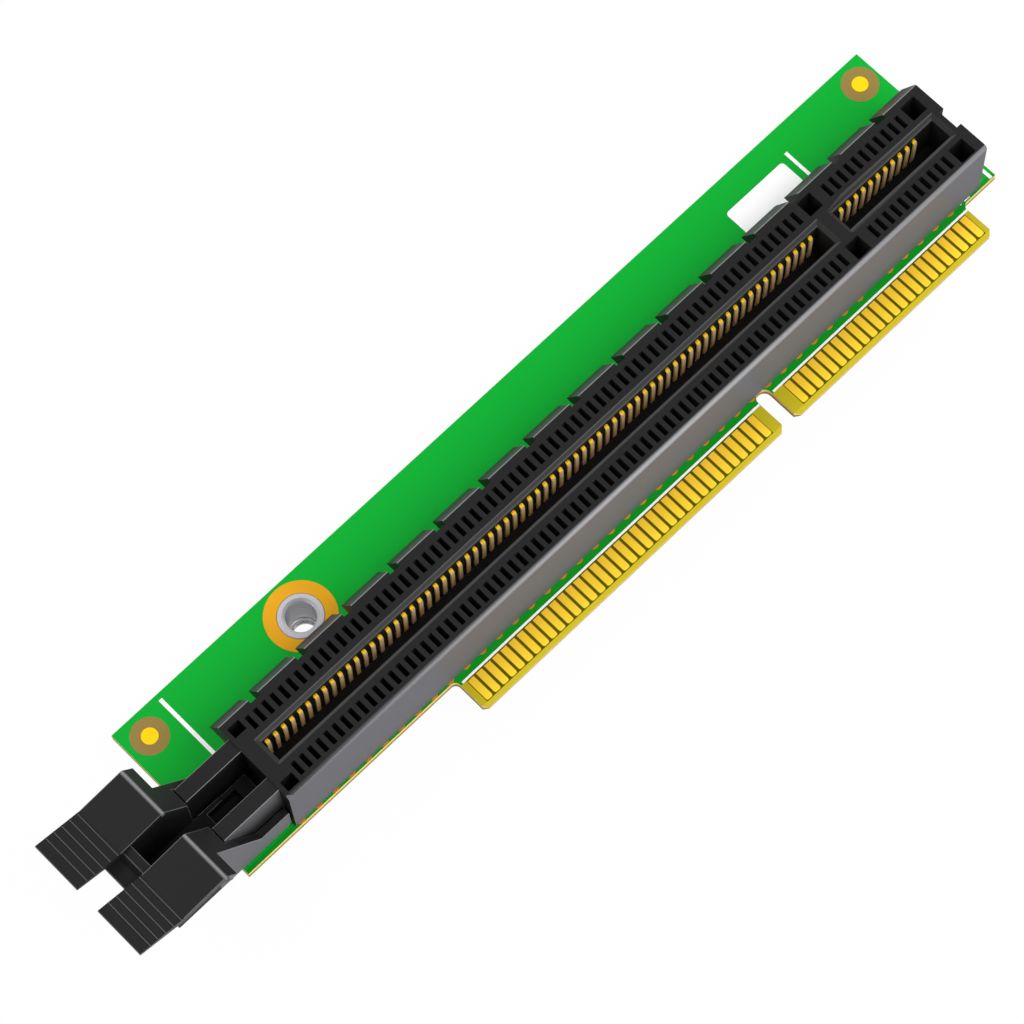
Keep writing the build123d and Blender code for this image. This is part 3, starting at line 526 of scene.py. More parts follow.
def printed_ink(name, colour):
    """A thin printed or bare layer: slightly uneven cover with a soft face."""
    finish = Finish(name)
    finish.settings(Specular_IOR_Level=0.3)
    uneven = finish.mottle(
        Cloud_Scale=900.0, Grain_Scale=9000.0, Tone_Spread=0.03, Roughness=0.55, Gloss_Spread=0.1
    )
    finish.tinted(colour, uneven.outputs["Tone"])
    finish.bump(uneven.outputs["Grain"], strength=0.1, distance=0.000005)
    return finish.material


housing_plastic = housing_moulding()
latch_plastic = latch_moulding()
laminate = board_laminate()
contact_plating = spring_plating()
finger_plating = finger_metal()
nut_plating = nut_metal()
pad_copper = plated_metal("pad_copper", PAD_GOLD, 0.45, metallic=0.1, cloud_scale=300.0)
tail_copper = plated_metal("tail_copper", TAIL_GOLD, 0.45, metallic=0.2, cloud_scale=300.0)
fiducial_plating = plated_metal("fiducial_plating", FIDUCIAL_GOLD, 0.45, metallic=0.05, cloud_scale=500.0)
solder_metal = plated_metal("solder", SOLDER_GREY, 0.35, metallic=0.9, cloud_scale=1200.0)
mask_window = printed_ink("bare_window", WINDOW_BROWN)
white_ink = printed_ink("white_ink", INK_WHITE)


# Mesh helpers
MERGE_DISTANCE = 0.002
FLAT_ANGLE = 1.0
SHARP_ANGLE = 30.0


def finished(name, mesh, material, body):
    """Links a mesh as a finished piece with its material on a body."""
    piece = bpy.data.objects.new(name, mesh)
    bpy.context.scene.collection.objects.link(piece)
    mesh.materials.clear()
    mesh.materials.append(material)
    for face in mesh.polygons:
        face.material_index = 0
    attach(piece, body)
    return piece


def mesh_from(name, verts, faces):
    """A mesh from corner points in millimetres, with its faces pointing outwards."""
    mesh = bpy.data.meshes.new(name)
    mesh.from_pydata([tuple(value * MM for value in point) for point in verts], [], faces)
    shell = bmesh.new()
    shell.from_mesh(mesh)
    bmesh.ops.recalc_face_normals(shell, faces=shell.faces)
    shell.to_mesh(mesh)
    shell.free()
    return mesh


def add_plate(verts, faces, outline, low, high):
    """Adds a flat plate with the given outline between two heights to a vertex and face list."""
    start = len(verts)
    count = len(outline)
    verts.extend((x, y, low) for x, y in outline)
    verts.extend((x, y, high) for x, y in outline)
    faces.append([start + i for i in reversed(range(count))])
    faces.append([start + count + i for i in range(count)])
    for i in range(count):
        after = (i + 1) % count
        faces.append([start + i, start + after, start + count + after, start + count + i])


def add_ring(verts, faces, centre, inner, outer, low, high, steps):
    """Adds a flat ring between two heights to a vertex and face list."""
    start = len(verts)
    for radius, height in ((inner, low), (outer, low), (outer, high), (inner, high)):
        for step in range(steps):
            angle = 2 * math.pi * step / steps
            verts.append((centre[0] + radius * math.cos(angle), centre[1] + radius * math.sin(angle), height))
    for loop in range(4):
        after_loop = (loop + 1) % 4
        for step in range(steps):
            after = (step + 1) % steps
            faces.append(
                [
                    start + loop * steps + step,
                    start + loop * steps + after,
                    start + after_loop * steps + after,
                    start + after_loop * steps + step,
                ]
            )


def box_outline(x_low, x_high, y_low, y_high):
    """The four corners of a rectangle."""
    return [(x_low, y_low), (x_high, y_low), (x_high, y_high), (x_low, y_high)]


def rounded_outline(x_low, x_high, y_low, y_high, radius, steps=5):
    """A rectangle's outline with rounded corners."""
    outline = []
    corners = (
        (x_high - radius, y_high - radius, 0),
        (x_low + radius, y_high - radius, 90),
        (x_low + radius, y_low + radius, 180),
        (x_high - radius, y_low + radius, 270),
    )
    for x, y, turn in corners:
        for step in range(steps + 1):
            angle = math.radians(turn + 90 * step / steps)
            outline.append((x + radius * math.cos(angle), y + radius * math.sin(angle)))
    return outline


def lathe(profile, centre, steps):
    """Corner points and faces of a closed profile (radius, height) turned about an upright axis."""
    verts = []
    faces = []
    count = len(profile)
    for step in range(steps):
        angle = 2 * math.pi * step / steps
        for radius, height in profile:
            verts.append((centre[0] + radius * math.cos(angle), centre[1] + radius * math.sin(angle), height))
    for step in range(steps):
        after = (step + 1) % steps
        for i in range(count):
            j = (i + 1) % count
            faces.append([step * count + i, after * count + i, after * count + j, step * count + j])
    return verts, faces


def dress_node(node, material):
    """Gives a CAD node its material."""
    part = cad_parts[node]
    part.data.materials.clear()
    part.data.materials.append(material)


def outer_edges(shell, wanted, shortest):
    """The outward edges of a mesh that are long enough and that the rule accepts by their two ends."""
    chosen = []
    for edge in shell.edges:
        if len(edge.link_faces) != 2 or edge.calc_length() < shortest * MM:
            continue
        if edge.calc_face_angle_signed(0.0) < math.radians(SHARP_ANGLE):
            continue
        first, last = (vert.co / MM for vert in edge.verts)
        if wanted(first, last):
            chosen.append(edge)
    return chosen


def softened_copy(name, node, material, moved, roundings, highlight_spot, body):
    """A merged copy of a CAD node that stands for it, with chosen edges rounded and carrying a painted
    highlight.

    A rounding is (rule, shortest edge, width, steps, painted highlight strength), with lengths in
    millimetres.
    """
    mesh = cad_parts[node].data.copy()
    mesh.name = name
    shell = bmesh.new()
    shell.from_mesh(mesh)
    for vert in shell.verts:
        vert.co = moved(vert.co / MM) * MM
    bmesh.ops.remove_doubles(shell, verts=shell.verts, dist=MERGE_DISTANCE * MM)
    bmesh.ops.dissolve_limit(
        shell, angle_limit=math.radians(FLAT_ANGLE), verts=shell.verts, edges=shell.edges, delimit={"NORMAL"}
    )
    # Each face keeps how strong its painted highlight is
    highlight_layer = shell.faces.layers.float.new(EDGE_LAYER)
    for wanted, shortest, width, steps, highlight_level in roundings:
        chosen = outer_edges(shell, wanted, shortest)
        made = bmesh.ops.bevel(
            shell,
            geom=chosen,
            offset=width * MM,
            offset_type="OFFSET",
            segments=steps,
            profile=0.5,
            affect="EDGES",
            clamp_overlap=False,
        )
        for face in made["faces"]:
            face.smooth = True
            face[highlight_layer] = highlight_level
    for face in shell.faces:
        face[highlight_layer] = max(face[highlight_layer], highlight_spot(face.calc_center_median() / MM))
    bmesh.ops.recalc_face_normals(shell, faces=shell.faces)
    shell.to_mesh(mesh)
    shell.free()
    result = finished(name, mesh, material, body)
    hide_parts(node)


# A repeater along the slot, for contacts, solder joints and pads


def build_repeater():
    """Geometry nodes: the piece's own mesh, copied along X in real meshes with its material set."""
    tree = bpy.data.node_groups.new("repeat_along_slot", "GeometryNodeTree")
    sockets = {}
    for label, kind in (
        ("Geometry", "NodeSocketGeometry"),
        ("Count", "NodeSocketInt"),
        ("First", "NodeSocketFloat"),
        ("Pitch", "NodeSocketFloat"),
        ("Material", "NodeSocketMaterial"),
    ):
        socket = tree.interface.new_socket(name=label, in_out="INPUT", socket_type=kind)
        sockets[label] = socket.identifier
    tree.interface.new_socket(name="Geometry", in_out="OUTPUT", socket_type="NodeSocketGeometry")
    given = tree.nodes.new("NodeGroupInput")
    out = tree.nodes.new("NodeGroupOutput")
    line = tree.nodes.new("GeometryNodeMeshLine")
    line.mode = "OFFSET"
    start = tree.nodes.new("ShaderNodeCombineXYZ")
    offset = tree.nodes.new("ShaderNodeCombineXYZ")
    copies = tree.nodes.new("GeometryNodeInstanceOnPoints")
    real = tree.nodes.new("GeometryNodeRealizeInstances")
    painted = tree.nodes.new("GeometryNodeSetMaterial")
    link = tree.links.new
    link(given.outputs["Count"], line.inputs["Count"])
    link(given.outputs["First"], start.inputs["X"])
    link(given.outputs["Pitch"], offset.inputs["X"])
    link(start.outputs[0], line.inputs["Start Location"])
    link(offset.outputs[0], line.inputs["Offset"])
    link(line.outputs["Mesh"], copies.inputs["Points"])
    link(given.outputs["Geometry"], copies.inputs["Instance"])
    link(copies.outputs["Instances"], real.inputs["Geometry"])
    link(real.outputs["Geometry"], painted.inputs["Geometry"])
    link(given.outputs["Material"], painted.inputs["Material"])
    link(painted.outputs["Geometry"], out.inputs["Geometry"])
    return tree, sockets


repeater, repeater_inputs = build_repeater()


def repeated(name, verts, faces, rows, material, body):
    """One small shape repeated along the slot; rows are (first, count, pitch) in millimetres."""
    joined = bmesh.new()
    for first, count, pitch in rows:
        seed = bpy.data.objects.new(name + "_seed", mesh_from(name + "_seed", verts, faces))
        bpy.context.scene.collection.objects.link(seed)
        modifier = seed.modifiers.new("repeat", "NODES")
        modifier.node_group = repeater
        modifier[repeater_inputs["Count"]] = count
        modifier[repeater_inputs["First"]] = first * MM
        modifier[repeater_inputs["Pitch"]] = pitch * MM
        modifier[repeater_inputs["Material"]] = material
        bpy.context.view_layer.update()
        baked = bpy.data.meshes.new_from_object(seed.evaluated_get(bpy.context.evaluated_depsgraph_get()))
        joined.from_mesh(baked)
        bpy.data.objects.remove(seed)
    mesh = bpy.data.meshes.new(name)
    joined.to_mesh(mesh)
    joined.free()
    return finished(name, mesh, material, body)


def even_row(contacts):
    """First place, count and pitch of every second contact from the first."""
    first, count = contacts
    return (first, (count + 1) // 2, 2 * CONTACT_PITCH)


def odd_row(contacts):
    """First place, count and pitch of every second contact from the second."""
    first, count = contacts
    return (first + CONTACT_PITCH, count // 2, 2 * CONTACT_PITCH)


# Board and pads as the solids give them
dress_node("circuit_board", laminate)
dress_node("nut_pad", pad_copper)
dress_node("fiducial_pads", fiducial_plating)

# Edge fingers with rounded ends at the card's edge
FINGER_END_R = 0.2


def finger_shape(low, high):
    """One finger on the tab: square at the root and rounded at the two outer corners."""
    half = FINGER_WIDTH / 2
    steps = 4
    outline = [(half, FINGER_Y + FINGER_LENGTH), (-half, FINGER_Y + FINGER_LENGTH)]
    for x, turn in ((-half + FINGER_END_R, 180), (half - FINGER_END_R, 270)):
        for step in range(steps + 1):
            angle = math.radians(turn + 90 * step / steps)
            rise = FINGER_Y + FINGER_END_R + FINGER_END_R * math.sin(angle)
            outline.append((x + FINGER_END_R * math.cos(angle), rise))
    verts = []
    faces = []
    add_plate(verts, faces, outline, low, high)
    return verts, faces


for face_name, low, high in (("top", 0.0, FINGER_T), ("under", -BOARD_T - FINGER_T, -BOARD_T)):
    finger_verts, finger_faces = finger_shape(low, high)
    for length_name, (first, count) in (("long", LONG_FINGERS), ("short", SHORT_FINGERS)):
        node_name = "_".join(("edge_fingers", face_name, length_name))
        rows = [(first, count, FINGER_PITCH)]
        fingers = repeated("rounded_" + node_name, finger_verts, finger_faces, rows, finger_plating, CARD)
        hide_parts(node_name)


# Housing and latch with softened edges
FRONT_WALL_Y = -4.56
FRONT_WALL_BAND = 0.15
FRONT_EDGE_R = 0.45
EDGE_BAND = 0.1
LIP_BAND_Y = POCKET_EDGE_Y + POCKET_LEAD + 0.05
LIP_BAND_Z = SLOT_TOP_Z - 0.6
RIB_BAND_Y = SLOT_HALF_Y + 0.3
ARM_EDGE_X = -2.5
ARM_EDGE_Z = 8.5
# Strengths of the painted highlights on the slopes of the pockets' mouths
FRONT_LEAD_HIGHLIGHT = 0.17
REAR_LEAD_HIGHLIGHT = 0.05
END_LEAD_HIGHLIGHT = 0.04


def housing_front_moved(place):
    """Stands the front wall a little further out, with a sharp top edge that is rounded later."""
    if place.y > -SLOT_HALF_Y + FRONT_WALL_BAND:
        return place
    height = SLOT_TOP_Z if place.z > SLOT_TOP_Z / 2 else place.z
    return Vector((place.x, FRONT_WALL_Y, height))


def is_front_edge(first, last):
    """The top edge of the front wall."""
    return max(first.y, last.y) < FRONT_WALL_Y + EDGE_BAND and min(first.z, last.z) > SLOT_TOP_Z - EDGE_BAND


def is_pocket_lip(first, last):
    """Along the mouth of the card pockets."""
    inside = max(abs(first.y), abs(last.y)) < LIP_BAND_Y
    lengthwise = abs(first.x - last.x) > abs(first.y - last.y)
    return inside and lengthwise and min(first.z, last.z) > LIP_BAND_Z


def is_front_lip(first, last):
    """The pocket's mouth on the front side."""
    return is_pocket_lip(first, last) and first.y < 0


def is_rear_lip(first, last):
    """The pocket's mouth on the rear side."""
    return is_pocket_lip(first, last) and first.y > 0


def is_rib_edge(first, last):
    """The top edges of the rear ribs."""
    return min(first.y, last.y) > RIB_BAND_Y and min(first.z, last.z) > SLOT_TOP_Z - EDGE_BAND


def is_arm_edge(first, last):
    """The long top edges of the two latch arms."""
    lengthwise = abs(first.x - last.x) > abs(first.y - last.y)
    return lengthwise and max(first.x, last.x) < ARM_EDGE_X and min(first.z, last.z) > ARM_EDGE_Z


def housing_highlight_spot(place):
    """How strong a painted highlight a face of the housing gets: the slopes of the pockets' mouths, most on
    the front side.
    """
    on_lead = SLOT_TOP_Z - POCKET_LEAD + EDGE_BAND < place.z < SLOT_TOP_Z - EDGE_BAND
    if not on_lead or abs(place.y) > POCKET_EDGE_Y + POCKET_LEAD:
        return 0.0
    if place.y < -POCKET_EDGE_Y:
        return FRONT_LEAD_HIGHLIGHT
    return REAR_LEAD_HIGHLIGHT if place.y > POCKET_EDGE_Y else END_LEAD_HIGHLIGHT


PADDLE_TIP = (-21.94, 13.03)
PADDLE_FALL = -0.2441
PADDLE_TOP_END_X = CREST[0] - 3.0
RIDGE_LIFT = 0.04
RIDGE_BAND = 0.2
RIDGE_LENGTH = 5.0
TIP_EDGE_X = PADDLE_TIP[0] + 0.5
# Strength of the painted highlight on the grip ridges, and where and how strong it is on the tongue's rear
# edge
RIDGE_HIGHLIGHT = 0.17
TONGUE_EDGE_Y = (1.25, 1.42)
TONGUE_EDGE_Z = (3.9, 4.05)
TONGUE_EDGE_HIGHLIGHT = 1.0


def unmoved(place):
    """Leaves a place as it is."""
    return place


def paddle_lift(x, z):
    """How far a place lies above the sloping top of the paddles."""
    return z - PADDLE_TIP[1] - PADDLE_FALL * (x - PADDLE_TIP[0])


def is_latch_edge(first, last):
    """Every long outer edge of the latch but those of the grip ridges."""
    across = abs(first.y - last.y) > RIDGE_LENGTH
    on_top = abs(paddle_lift(first.x, first.z)) < RIDGE_BAND
    return not (across and on_top and first.x > TIP_EDGE_X)


def latch_highlight_spot(place):
    """How strong a painted highlight a face of the latch gets: the tops of the grip ridges and the tongue's
    rear edge.
    """
    on_paddle = place.x < PADDLE_TOP_END_X and place.z > CREST[1]
    if on_paddle and paddle_lift(place.x, place.z) > RIDGE_LIFT:
        return RIDGE_HIGHLIGHT
    beside_tongue = TONGUE_EDGE_Y[0] < place.y < TONGUE_EDGE_Y[1]
    on_tongue = beside_tongue and TONGUE_EDGE_Z[0] < place.z < TONGUE_EDGE_Z[1]
    return TONGUE_EDGE_HIGHLIGHT if on_tongue else 0.0


# The rounded edges carry painted highlights; the last number of each rounding is its strength
softened_copy(
    "slot_housing_moulded",
    "slot_housing",
    housing_plastic,
    housing_front_moved,
    [
        (is_front_edge, 50.0, FRONT_EDGE_R, 6, 0.0),
        (is_front_lip, 10.0, 0.14, 3, 0.1),
        (is_rear_lip, 10.0, 0.14, 3, 0.16),
        (is_rib_edge, 3.0, 0.08, 2, 0.58),
        (is_arm_edge, 5.0, 0.06, 2, 0.45),
    ],
    housing_highlight_spot,
    CARD,
)
# The latch's rounded edges carry a painted highlight of the last number's strength
softened_copy(
    "card_latch_moulded",
    "card_latch",
    latch_plastic,
    unmoved,
    [(is_latch_edge, 1.5, 0.06, 2, 0.28)],
    latch_highlight_spot,
    LATCH,
)


# Spring contacts
CONTACT_PATH_TOP = [
    (1.1, 3.3),
    (1.07, 4.2),
    (1.03, 5.6),
    (1.02, 6.4),
    (1.03, 6.9),
    (1.08, 7.05),
    (1.2, 7.13),
    (1.44, 7.13),
]
CONTACT_THICKNESS = 0.18


def contact_shape(side, tail_y):
    """One contact: slanted leg, blade that leans into the pocket, and a tip turned back outwards."""
    path = [(tail_y, 0.0), (tail_y, 0.35)] + CONTACT_PATH_TOP
    verts = []
    faces = []
    half = CONTACT_THICKNESS / 2
    for i, (y, z) in enumerate(path):
        before = path[max(i - 1, 0)]
        after = path[min(i + 1, len(path) - 1)]
        run = Vector((after[0] - before[0], after[1] - before[1])).normalized()
        across = Vector((-run.y, run.x)) * half
        for x_sign, offset in ((-1, -1), (1, -1), (1, 1), (-1, 1)):
            verts.append((x_sign * CONTACT_WIDTH / 2, side * (y + offset * across.x), z + offset * across.y))
    for i in range(len(path) - 1):
        for k in range(4):
            n = (k + 1) % 4
            faces.append([4 * i + k, 4 * i + n, 4 * (i + 1) + n, 4 * (i + 1) + k])
    faces.append([0, 1, 2, 3])
    last = 4 * (len(path) - 1)
    faces.append([last + 3, last + 2, last + 1, last])
    return verts, faces


for side, side_name in ((-1, "front"), (1, "rear")):
    for contacts, length_name, outer_row, inner_row in (
        (LONG_CONTACTS, "long", even_row, odd_row),
        (SHORT_CONTACTS, "short", odd_row, even_row),
    ):
        for tail_y, tail_name, row in (
            (TAIL_Y_OUTER, "outer", outer_row),
            (TAIL_Y_INNER, "inner", inner_row),
        ):
            node_name = "_".join(("contacts", side_name, length_name, tail_name))
            contact_verts, contact_faces = contact_shape(side, tail_y)
            springs = repeated(
                "spring_" + node_name, contact_verts, contact_faces, [row(contacts)], contact_plating, CARD
            )
            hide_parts(node_name)

# Solder joints and their rings under the board
SOLDER_PROFILE = [(0.0, -1.0), (0.44, -1.0), (0.3, -1.12), (0.2, -1.3), (0.16, -1.48), (0.0, -1.54)]
TAIL_RING_R = (0.4, 0.62)
TAIL_RING_T = 0.025


def solder_shape(y):
    """One solder joint as a small hollow-sided cone under the board."""
    steps = 10
    verts = [(0.0, y, SOLDER_PROFILE[0][1])]
    faces = []
    rings = SOLDER_PROFILE[1:-1]
    for radius, height in rings:
        for step in range(steps):
            angle = 2 * math.pi * step / steps
            verts.append((radius * math.cos(angle), y + radius * math.sin(angle), height))
    verts.append((0.0, y, SOLDER_PROFILE[-1][1]))
    tip = len(verts) - 1
    for step in range(steps):
        after = (step + 1) % steps
        faces.append([0, 1 + step, 1 + after])
        for ring in range(len(rings) - 1):
            low = 1 + ring * steps
            high = low + steps
            faces.append([low + step, low + after, high + after, high + step])
        last = 1 + (len(rings) - 1) * steps
        faces.append([last + step, last + after, tip])
    return verts, faces


for row_name, row_y, rows in (
    ("solder_joints_front_outer", -TAIL_Y_OUTER, [even_row(LONG_CONTACTS), odd_row(SHORT_CONTACTS)]),
    ("solder_joints_front_inner", -TAIL_Y_INNER, [odd_row(LONG_CONTACTS), even_row(SHORT_CONTACTS)]),
    ("solder_joints_rear_inner", TAIL_Y_INNER, [odd_row(LONG_CONTACTS), even_row(SHORT_CONTACTS)]),
    ("solder_joints_rear_outer", TAIL_Y_OUTER, [even_row(LONG_CONTACTS), odd_row(SHORT_CONTACTS)]),
):
    cone_verts, cone_faces = solder_shape(row_y)
    joints = repeated("smooth_" + row_name, cone_verts, cone_faces, rows, solder_metal, CARD)
    for face in joints.data.polygons:
        face.use_smooth = True
    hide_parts(row_name)
    ring_verts = []
    ring_faces = []
    add_ring(ring_verts, ring_faces, (0.0, row_y), *TAIL_RING_R, -BOARD_T - TAIL_RING_T, -BOARD_T, steps=20)
    ring_name = "tail_rings_" + row_name.removeprefix("solder_joints_")
    repeated(ring_name, ring_verts, ring_faces, rows, pad_copper, CARD)

# Ends of the tail pads that show beside the housing, at the pitch of the board's print
PAD_END_R = 0.55
PAD_END_Y = 4.77
PAD_END_T = 0.03
PAD_PITCH = 2.093
LONG_PADS = (-1.86, 36)
SHORT_PADS = (75.55, 5)
WALL_FIT = 0.01


def pad_end_shape(side, wall):
    """The part of a round-ended pad that shows beyond the housing wall."""
    centre = PAD_END_Y - PAD_END_R
    half_angle = math.acos((wall - centre) / PAD_END_R)
    steps = 10
    outline = []
    for step in range(steps + 1):
        angle = -half_angle + 2 * half_angle * step / steps
        outline.append((PAD_END_R * math.sin(angle), side * (centre + PAD_END_R * math.cos(angle))))
    verts = []
    faces = []
    add_plate(verts, faces, outline, 0.0, PAD_END_T)
    return verts, faces


for side, side_name, wall_y in ((-1, "front", -FRONT_WALL_Y), (1, "rear", SLOT_HALF_Y)):
    end_verts, end_faces = pad_end_shape(side, wall_y + WALL_FIT)
    rows = [(*LONG_PADS, PAD_PITCH), (*SHORT_PADS, PAD_PITCH)]
    repeated("tail_pad_ends_" + side_name, end_verts, end_faces, rows, tail_copper, CARD)

# Printed lines, bars and the bare label patch, each as x low, x high, y low, y high
INK_T = 0.015
LONG_TAB_LINE = (17.68, 56.8, -5.51, -5.28)
SHORT_TAB_LINE = (58.68, 85.38, -5.51, -5.28)
LATCH_END_LINE = (-3.4, -3.0, -3.2, 13.15)
LABEL_LINE = (77.25, 77.6, 4.37, 11.2)
FAR_END_BAR = (89.3, 89.65, -4.7, -3.4)
TAB_DASH = (85.85, 86.6, -4.64, -4.46)
LABEL_PATCH = (68.7, 76.5, 4.37, 10.75)
LABEL_CORNER_R = 0.4
TAB_DOT = (85.35, -4.55)
TAB_DOT_R = 0.1


def round_outline(centre, radius, steps=8):
    """A circle's outline."""
    turns = [2 * math.pi * step / steps for step in range(steps)]
    return [(centre[0] + radius * math.cos(turn), centre[1] + radius * math.sin(turn)) for turn in turns]


ink_verts = []
ink_faces = []
printed_boxes = (LONG_TAB_LINE, SHORT_TAB_LINE, LATCH_END_LINE, LABEL_LINE, FAR_END_BAR, TAB_DASH)
ink_outlines = [box_outline(*box) for box in printed_boxes]
ink_outlines.append(rounded_outline(*LABEL_PATCH, LABEL_CORNER_R))
ink_outlines.append(round_outline(TAB_DOT, TAB_DOT_R))
for outline in ink_outlines:
    add_plate(ink_verts, ink_faces, outline, 0.0, INK_T)
finished("board_print", mesh_from("board_print", ink_verts, ink_faces), white_ink, CARD)

# Bare windows in the green mask round the alignment pads
WINDOW_R = (0.84, 1.88)
WINDOW_T = 0.012
window_verts = []
window_faces = []
for fiducial in FIDUCIALS:
    add_ring(window_verts, window_faces, fiducial, *WINDOW_R, 0.0, WINDOW_T, steps=64)
finished("alignment_windows", mesh_from("alignment_windows", window_verts, window_faces), mask_window, CARD)

# Nut with its thread
NUT_EDGE = 0.08
NUT_HEAD_FALL = 0.15
NUT_FOOT_EDGE = 0.2
NUT_FOOT_LEAD = 0.15
NUT_MOUTH_LEAD = 0.3
NUT_STEP_Z = -4.7
NUT_STEP_FALL = 0.06
NUT_STEP_R = NUT_BORE_R - 0.12
NUT_PROFILE = [
    (NUT_LIP_R, NUT_BOTTOM_Z + NUT_FOOT_LEAD),
    (NUT_LIP_R + NUT_FOOT_LEAD, NUT_BOTTOM_Z),
    (NUT_BODY_R - NUT_FOOT_EDGE, NUT_BOTTOM_Z),
    (NUT_BODY_R, NUT_BOTTOM_Z + NUT_FOOT_EDGE),
    (NUT_BODY_R, -BOARD_T - NUT_HEAD_FALL),
    (NUT_BODY_R - NUT_EDGE, -BOARD_T),
    (NUT_SHANK_R, -BOARD_T),
    (NUT_SHANK_R, NUT_TOP_Z - NUT_EDGE),
    (NUT_SHANK_R - NUT_EDGE, NUT_TOP_Z),
    (NUT_BORE_R + NUT_MOUTH_LEAD, NUT_TOP_Z),
    (NUT_BORE_R, NUT_TOP_Z - NUT_MOUTH_LEAD),
    (NUT_BORE_R, NUT_STEP_Z),
    (NUT_STEP_R, NUT_STEP_Z - NUT_STEP_FALL),
    (NUT_STEP_R, NUT_LIP_TOP_Z),
    (NUT_LIP_R, NUT_LIP_TOP_Z),
]
THREAD_PITCH = 0.5
THREAD_DEPTH = 0.035
THREAD_SINK = 0.02
THREAD_HALF_FOOT = 0.2
THREAD_HALF_CREST = 0.04
THREAD_FADE_TURNS = 0.5
THREAD_Z = (NUT_STEP_Z + 0.3, NUT_TOP_Z - 0.55)
THREAD_STEPS = 48


def thread_shape(centre, bottom, top):
    """A ridge that winds up the bore wall, thin at both ends."""
    verts = []
    faces = []
    total = int((top - bottom) / THREAD_PITCH * THREAD_STEPS)
    fade_steps = THREAD_STEPS * THREAD_FADE_TURNS
    wall = NUT_BORE_R + THREAD_SINK
    for step in range(total + 1):
        angle = 2 * math.pi * step / THREAD_STEPS
        height = bottom + THREAD_PITCH * step / THREAD_STEPS
        fade = min(1.0, step / fade_steps, (total - step) / fade_steps)
        crest = NUT_BORE_R - THREAD_DEPTH * fade
        for radius, rise in (
            (wall, -THREAD_HALF_FOOT),
            (crest, -THREAD_HALF_CREST),
            (crest, THREAD_HALF_CREST),
            (wall, THREAD_HALF_FOOT),
        ):
            x = centre[0] + radius * math.cos(angle)
            y = centre[1] + radius * math.sin(angle)
            verts.append((x, y, height + rise))
    for step in range(total):
        for k in range(4):
            n = (k + 1) % 4
            faces.append([4 * step + k, 4 * step + n, 4 * step + 4 + n, 4 * step + 4 + k])
    faces.append([0, 1, 2, 3])
    faces.append([4 * total + 3, 4 * total + 2, 4 * total + 1, 4 * total])
    return verts, faces


nut_verts, nut_faces = lathe(NUT_PROFILE, NUT_CENTRE, steps=72)
thread_verts, thread_faces = thread_shape(NUT_CENTRE, *THREAD_Z)
shift = len(nut_verts)
nut_verts += thread_verts
nut_faces += [[shift + i for i in face] for face in thread_faces]
nut = finished("threaded_nut", mesh_from("threaded_nut", nut_verts, nut_faces), nut_plating, CARD)
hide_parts("mounting_nut")

# Camera at the photograph's angle
CAMERA_PLACE = (-49.861, -94.724, 339.635)
CAMERA_TURN = (0.9098849, 0.1709857, -0.0546727, -0.3740110)
CAMERA_LENS = 136.217
CAMERA_SENSOR = 36.0
CAMERA_CLIP = (0.01, 10.0)
camera_data = bpy.data.cameras.new("camera")
camera_data.lens = CAMERA_LENS
camera_data.sensor_width = CAMERA_SENSOR
camera_data.clip_start, camera_data.clip_end = CAMERA_CLIP
camera = bpy.data.objects.new("camera", camera_data)
bpy.context.scene.collection.objects.link(camera)
camera.rotation_mode = "QUATERNION"
camera.rotation_quaternion = Quaternion(CAMERA_TURN)
camera.location = [value * MM for value in CAMERA_PLACE]
bpy.context.scene.camera = camera

# Lamps, each as its name, place, size and power
LAMP_TARGET = (40.0, 2.0, 0.0)
LAMPS = (
    ("key_lamp", (75.0, -173.0, 301.0), 160.0, 0.49),
    ("rear_lamp", (-120.0, 150.0, 290.0), 200.0, 0.32),
    ("front_lamp", (60.0, -320.0, 90.0), 160.0, 0.35),
    ("rim_lamp", (350.0, 80.0, 150.0), 120.0, 0.35),
)


def area_lamp(name, place, size, power):
    """A soft square lamp that points at the card's middle; its place is in millimetres."""
    data = bpy.data.lights.new(name, "AREA")
    data.size = size * MM
    data.energy = power
    lamp = bpy.data.objects.new(name, data)
    bpy.context.scene.collection.objects.link(lamp)
    lamp.location = Vector(place) * MM
    aim = (Vector(LAMP_TARGET) - Vector(place)).normalized()
    lamp.rotation_mode = "QUATERNION"
    lamp.rotation_quaternion = aim.to_track_quat("-Z", "Y")


for lamp_values in LAMPS:
    area_lamp(*lamp_values)

# World: white to the camera, dimmer overhead in reflections, and weaker as a light
ZENITH_GLOSS = 0.2
SKY_LIGHT = 0.7
world = bpy.data.worlds.new("studio")
world.use_nodes = True
bpy.context.scene.world = world
sky = world.node_tree
background = sky.nodes["Background"]
rays = sky.nodes.new("ShaderNodeLightPath")
sky_place = sky.nodes.new("ShaderNodeTexCoord")
sky_parts = sky.nodes.new("ShaderNodeSeparateXYZ")
sky.links.new(sky_place.outputs["Generated"], sky_parts.inputs[0])
overhead = add_math(sky, "MAXIMUM", sky_parts.outputs["Z"], 0.0)
gloss_level = add_math(sky, "MULTIPLY_ADD", overhead, ZENITH_GLOSS - 1.0, 1.0)
seen = add_math(sky, "MAXIMUM", rays.outputs["Is Camera Ray"], rays.outputs["Is Transmission Ray"])
gloss_extra = add_math(sky, "SUBTRACT", gloss_level, SKY_LIGHT)
glossy = add_math(sky, "MULTIPLY", rays.outputs["Is Glossy Ray"], gloss_extra)
extra = add_math(sky, "MULTIPLY", seen, 1.0 - SKY_LIGHT)
strength = add_math(sky, "ADD", add_math(sky, "ADD", glossy, extra), SKY_LIGHT)
sky.links.new(strength, background.inputs["Strength"])
background.inputs["Color"].default_value = (1.0, 1.0, 1.0, 1.0)

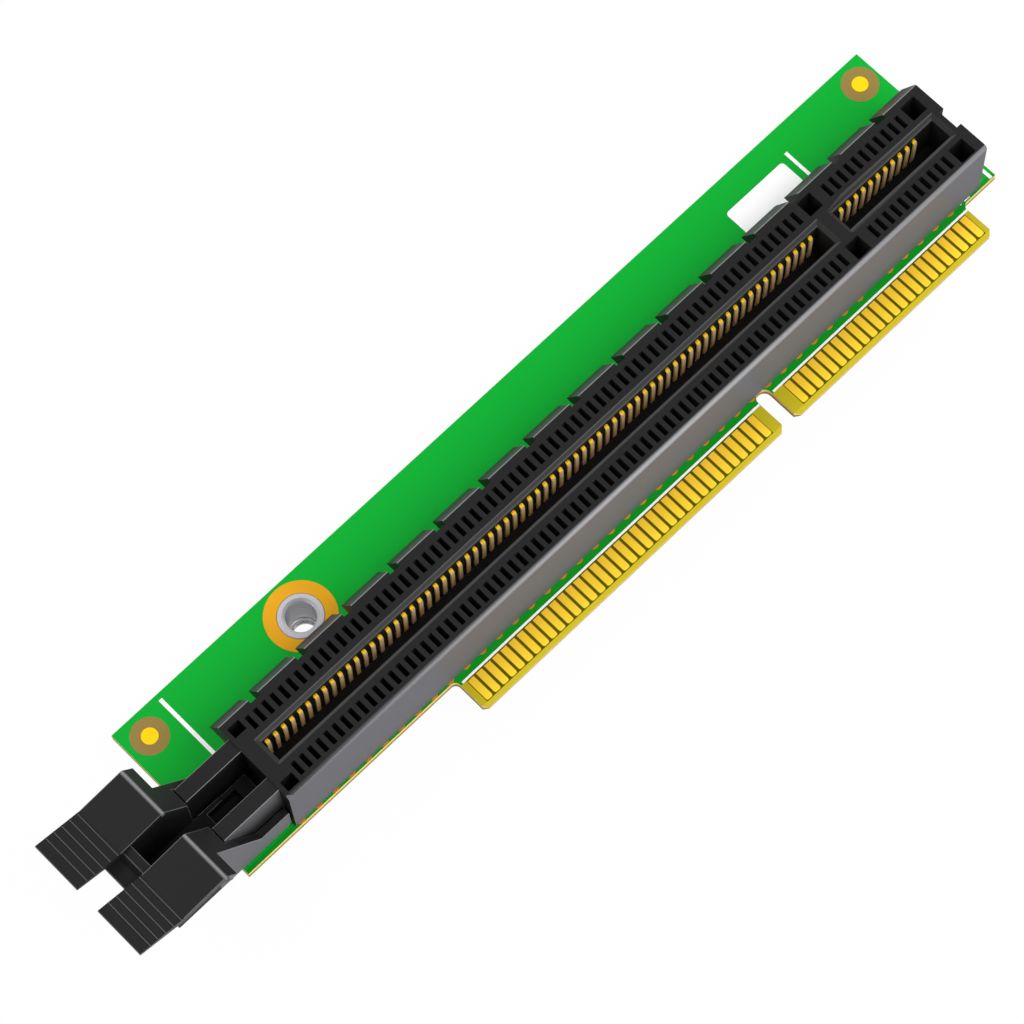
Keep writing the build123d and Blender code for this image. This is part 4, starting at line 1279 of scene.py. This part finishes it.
# Floor: white to the camera and dimmer in reflections, and it keeps a faint shadow
FLOOR_Z = NUT_BOTTOM_Z - 0.05
FLOOR_HALF = 1500.0
FLOOR_GLOSS = 0.5
FLOOR_GLOW_SHARE = 0.97
FLOOR_COLOUR = (0.8, 0.8, 0.8, 1.0)
floor_corners = box_outline(-FLOOR_HALF, FLOOR_HALF, -FLOOR_HALF, FLOOR_HALF)
floor_mesh = bpy.data.meshes.new("floor")
floor_mesh.from_pydata([(x * MM, y * MM, FLOOR_Z * MM) for x, y in floor_corners], [], [(0, 1, 2, 3)])
floor = bpy.data.objects.new("floor", floor_mesh)
bpy.context.scene.collection.objects.link(floor)
floor_material = bpy.data.materials.new("pale_floor")
floor_material.use_nodes = True
floor_tree = floor_material.node_tree
floor_shader = floor_tree.nodes["Principled BSDF"]
floor_shader.inputs["Base Color"].default_value = FLOOR_COLOUR
floor_shader.inputs["Roughness"].default_value = 0.9
floor_shader.inputs["Specular IOR Level"].default_value = 0.0
floor_rays = floor_tree.nodes.new("ShaderNodeLightPath")
floor_glow = floor_tree.nodes.new("ShaderNodeEmission")
floor_mix = floor_tree.nodes.new("ShaderNodeMixShader")
floor_seen = add_math(
    floor_tree, "MAXIMUM", floor_rays.outputs["Is Camera Ray"], floor_rays.outputs["Is Transmission Ray"]
)
floor_glossy = floor_rays.outputs["Is Glossy Ray"]
floor_lit = add_math(floor_tree, "MAXIMUM", floor_seen, floor_glossy)
floor_share = add_math(floor_tree, "MULTIPLY", floor_lit, FLOOR_GLOW_SHARE)
floor_level = add_math(floor_tree, "MULTIPLY_ADD", floor_glossy, FLOOR_GLOSS, floor_seen)
floor_tree.links.new(floor_level, floor_glow.inputs["Strength"])
floor_tree.links.new(floor_share, floor_mix.inputs["Fac"])
floor_tree.links.new(floor_shader.outputs["BSDF"], floor_mix.inputs[1])
floor_tree.links.new(floor_glow.outputs["Emission"], floor_mix.inputs[2])
floor_tree.links.new(floor_mix.outputs["Shader"], floor_tree.nodes["Material Output"].inputs["Surface"])
floor_mesh.materials.append(floor_material)

bpy.context.scene.view_settings.view_transform = "Standard"
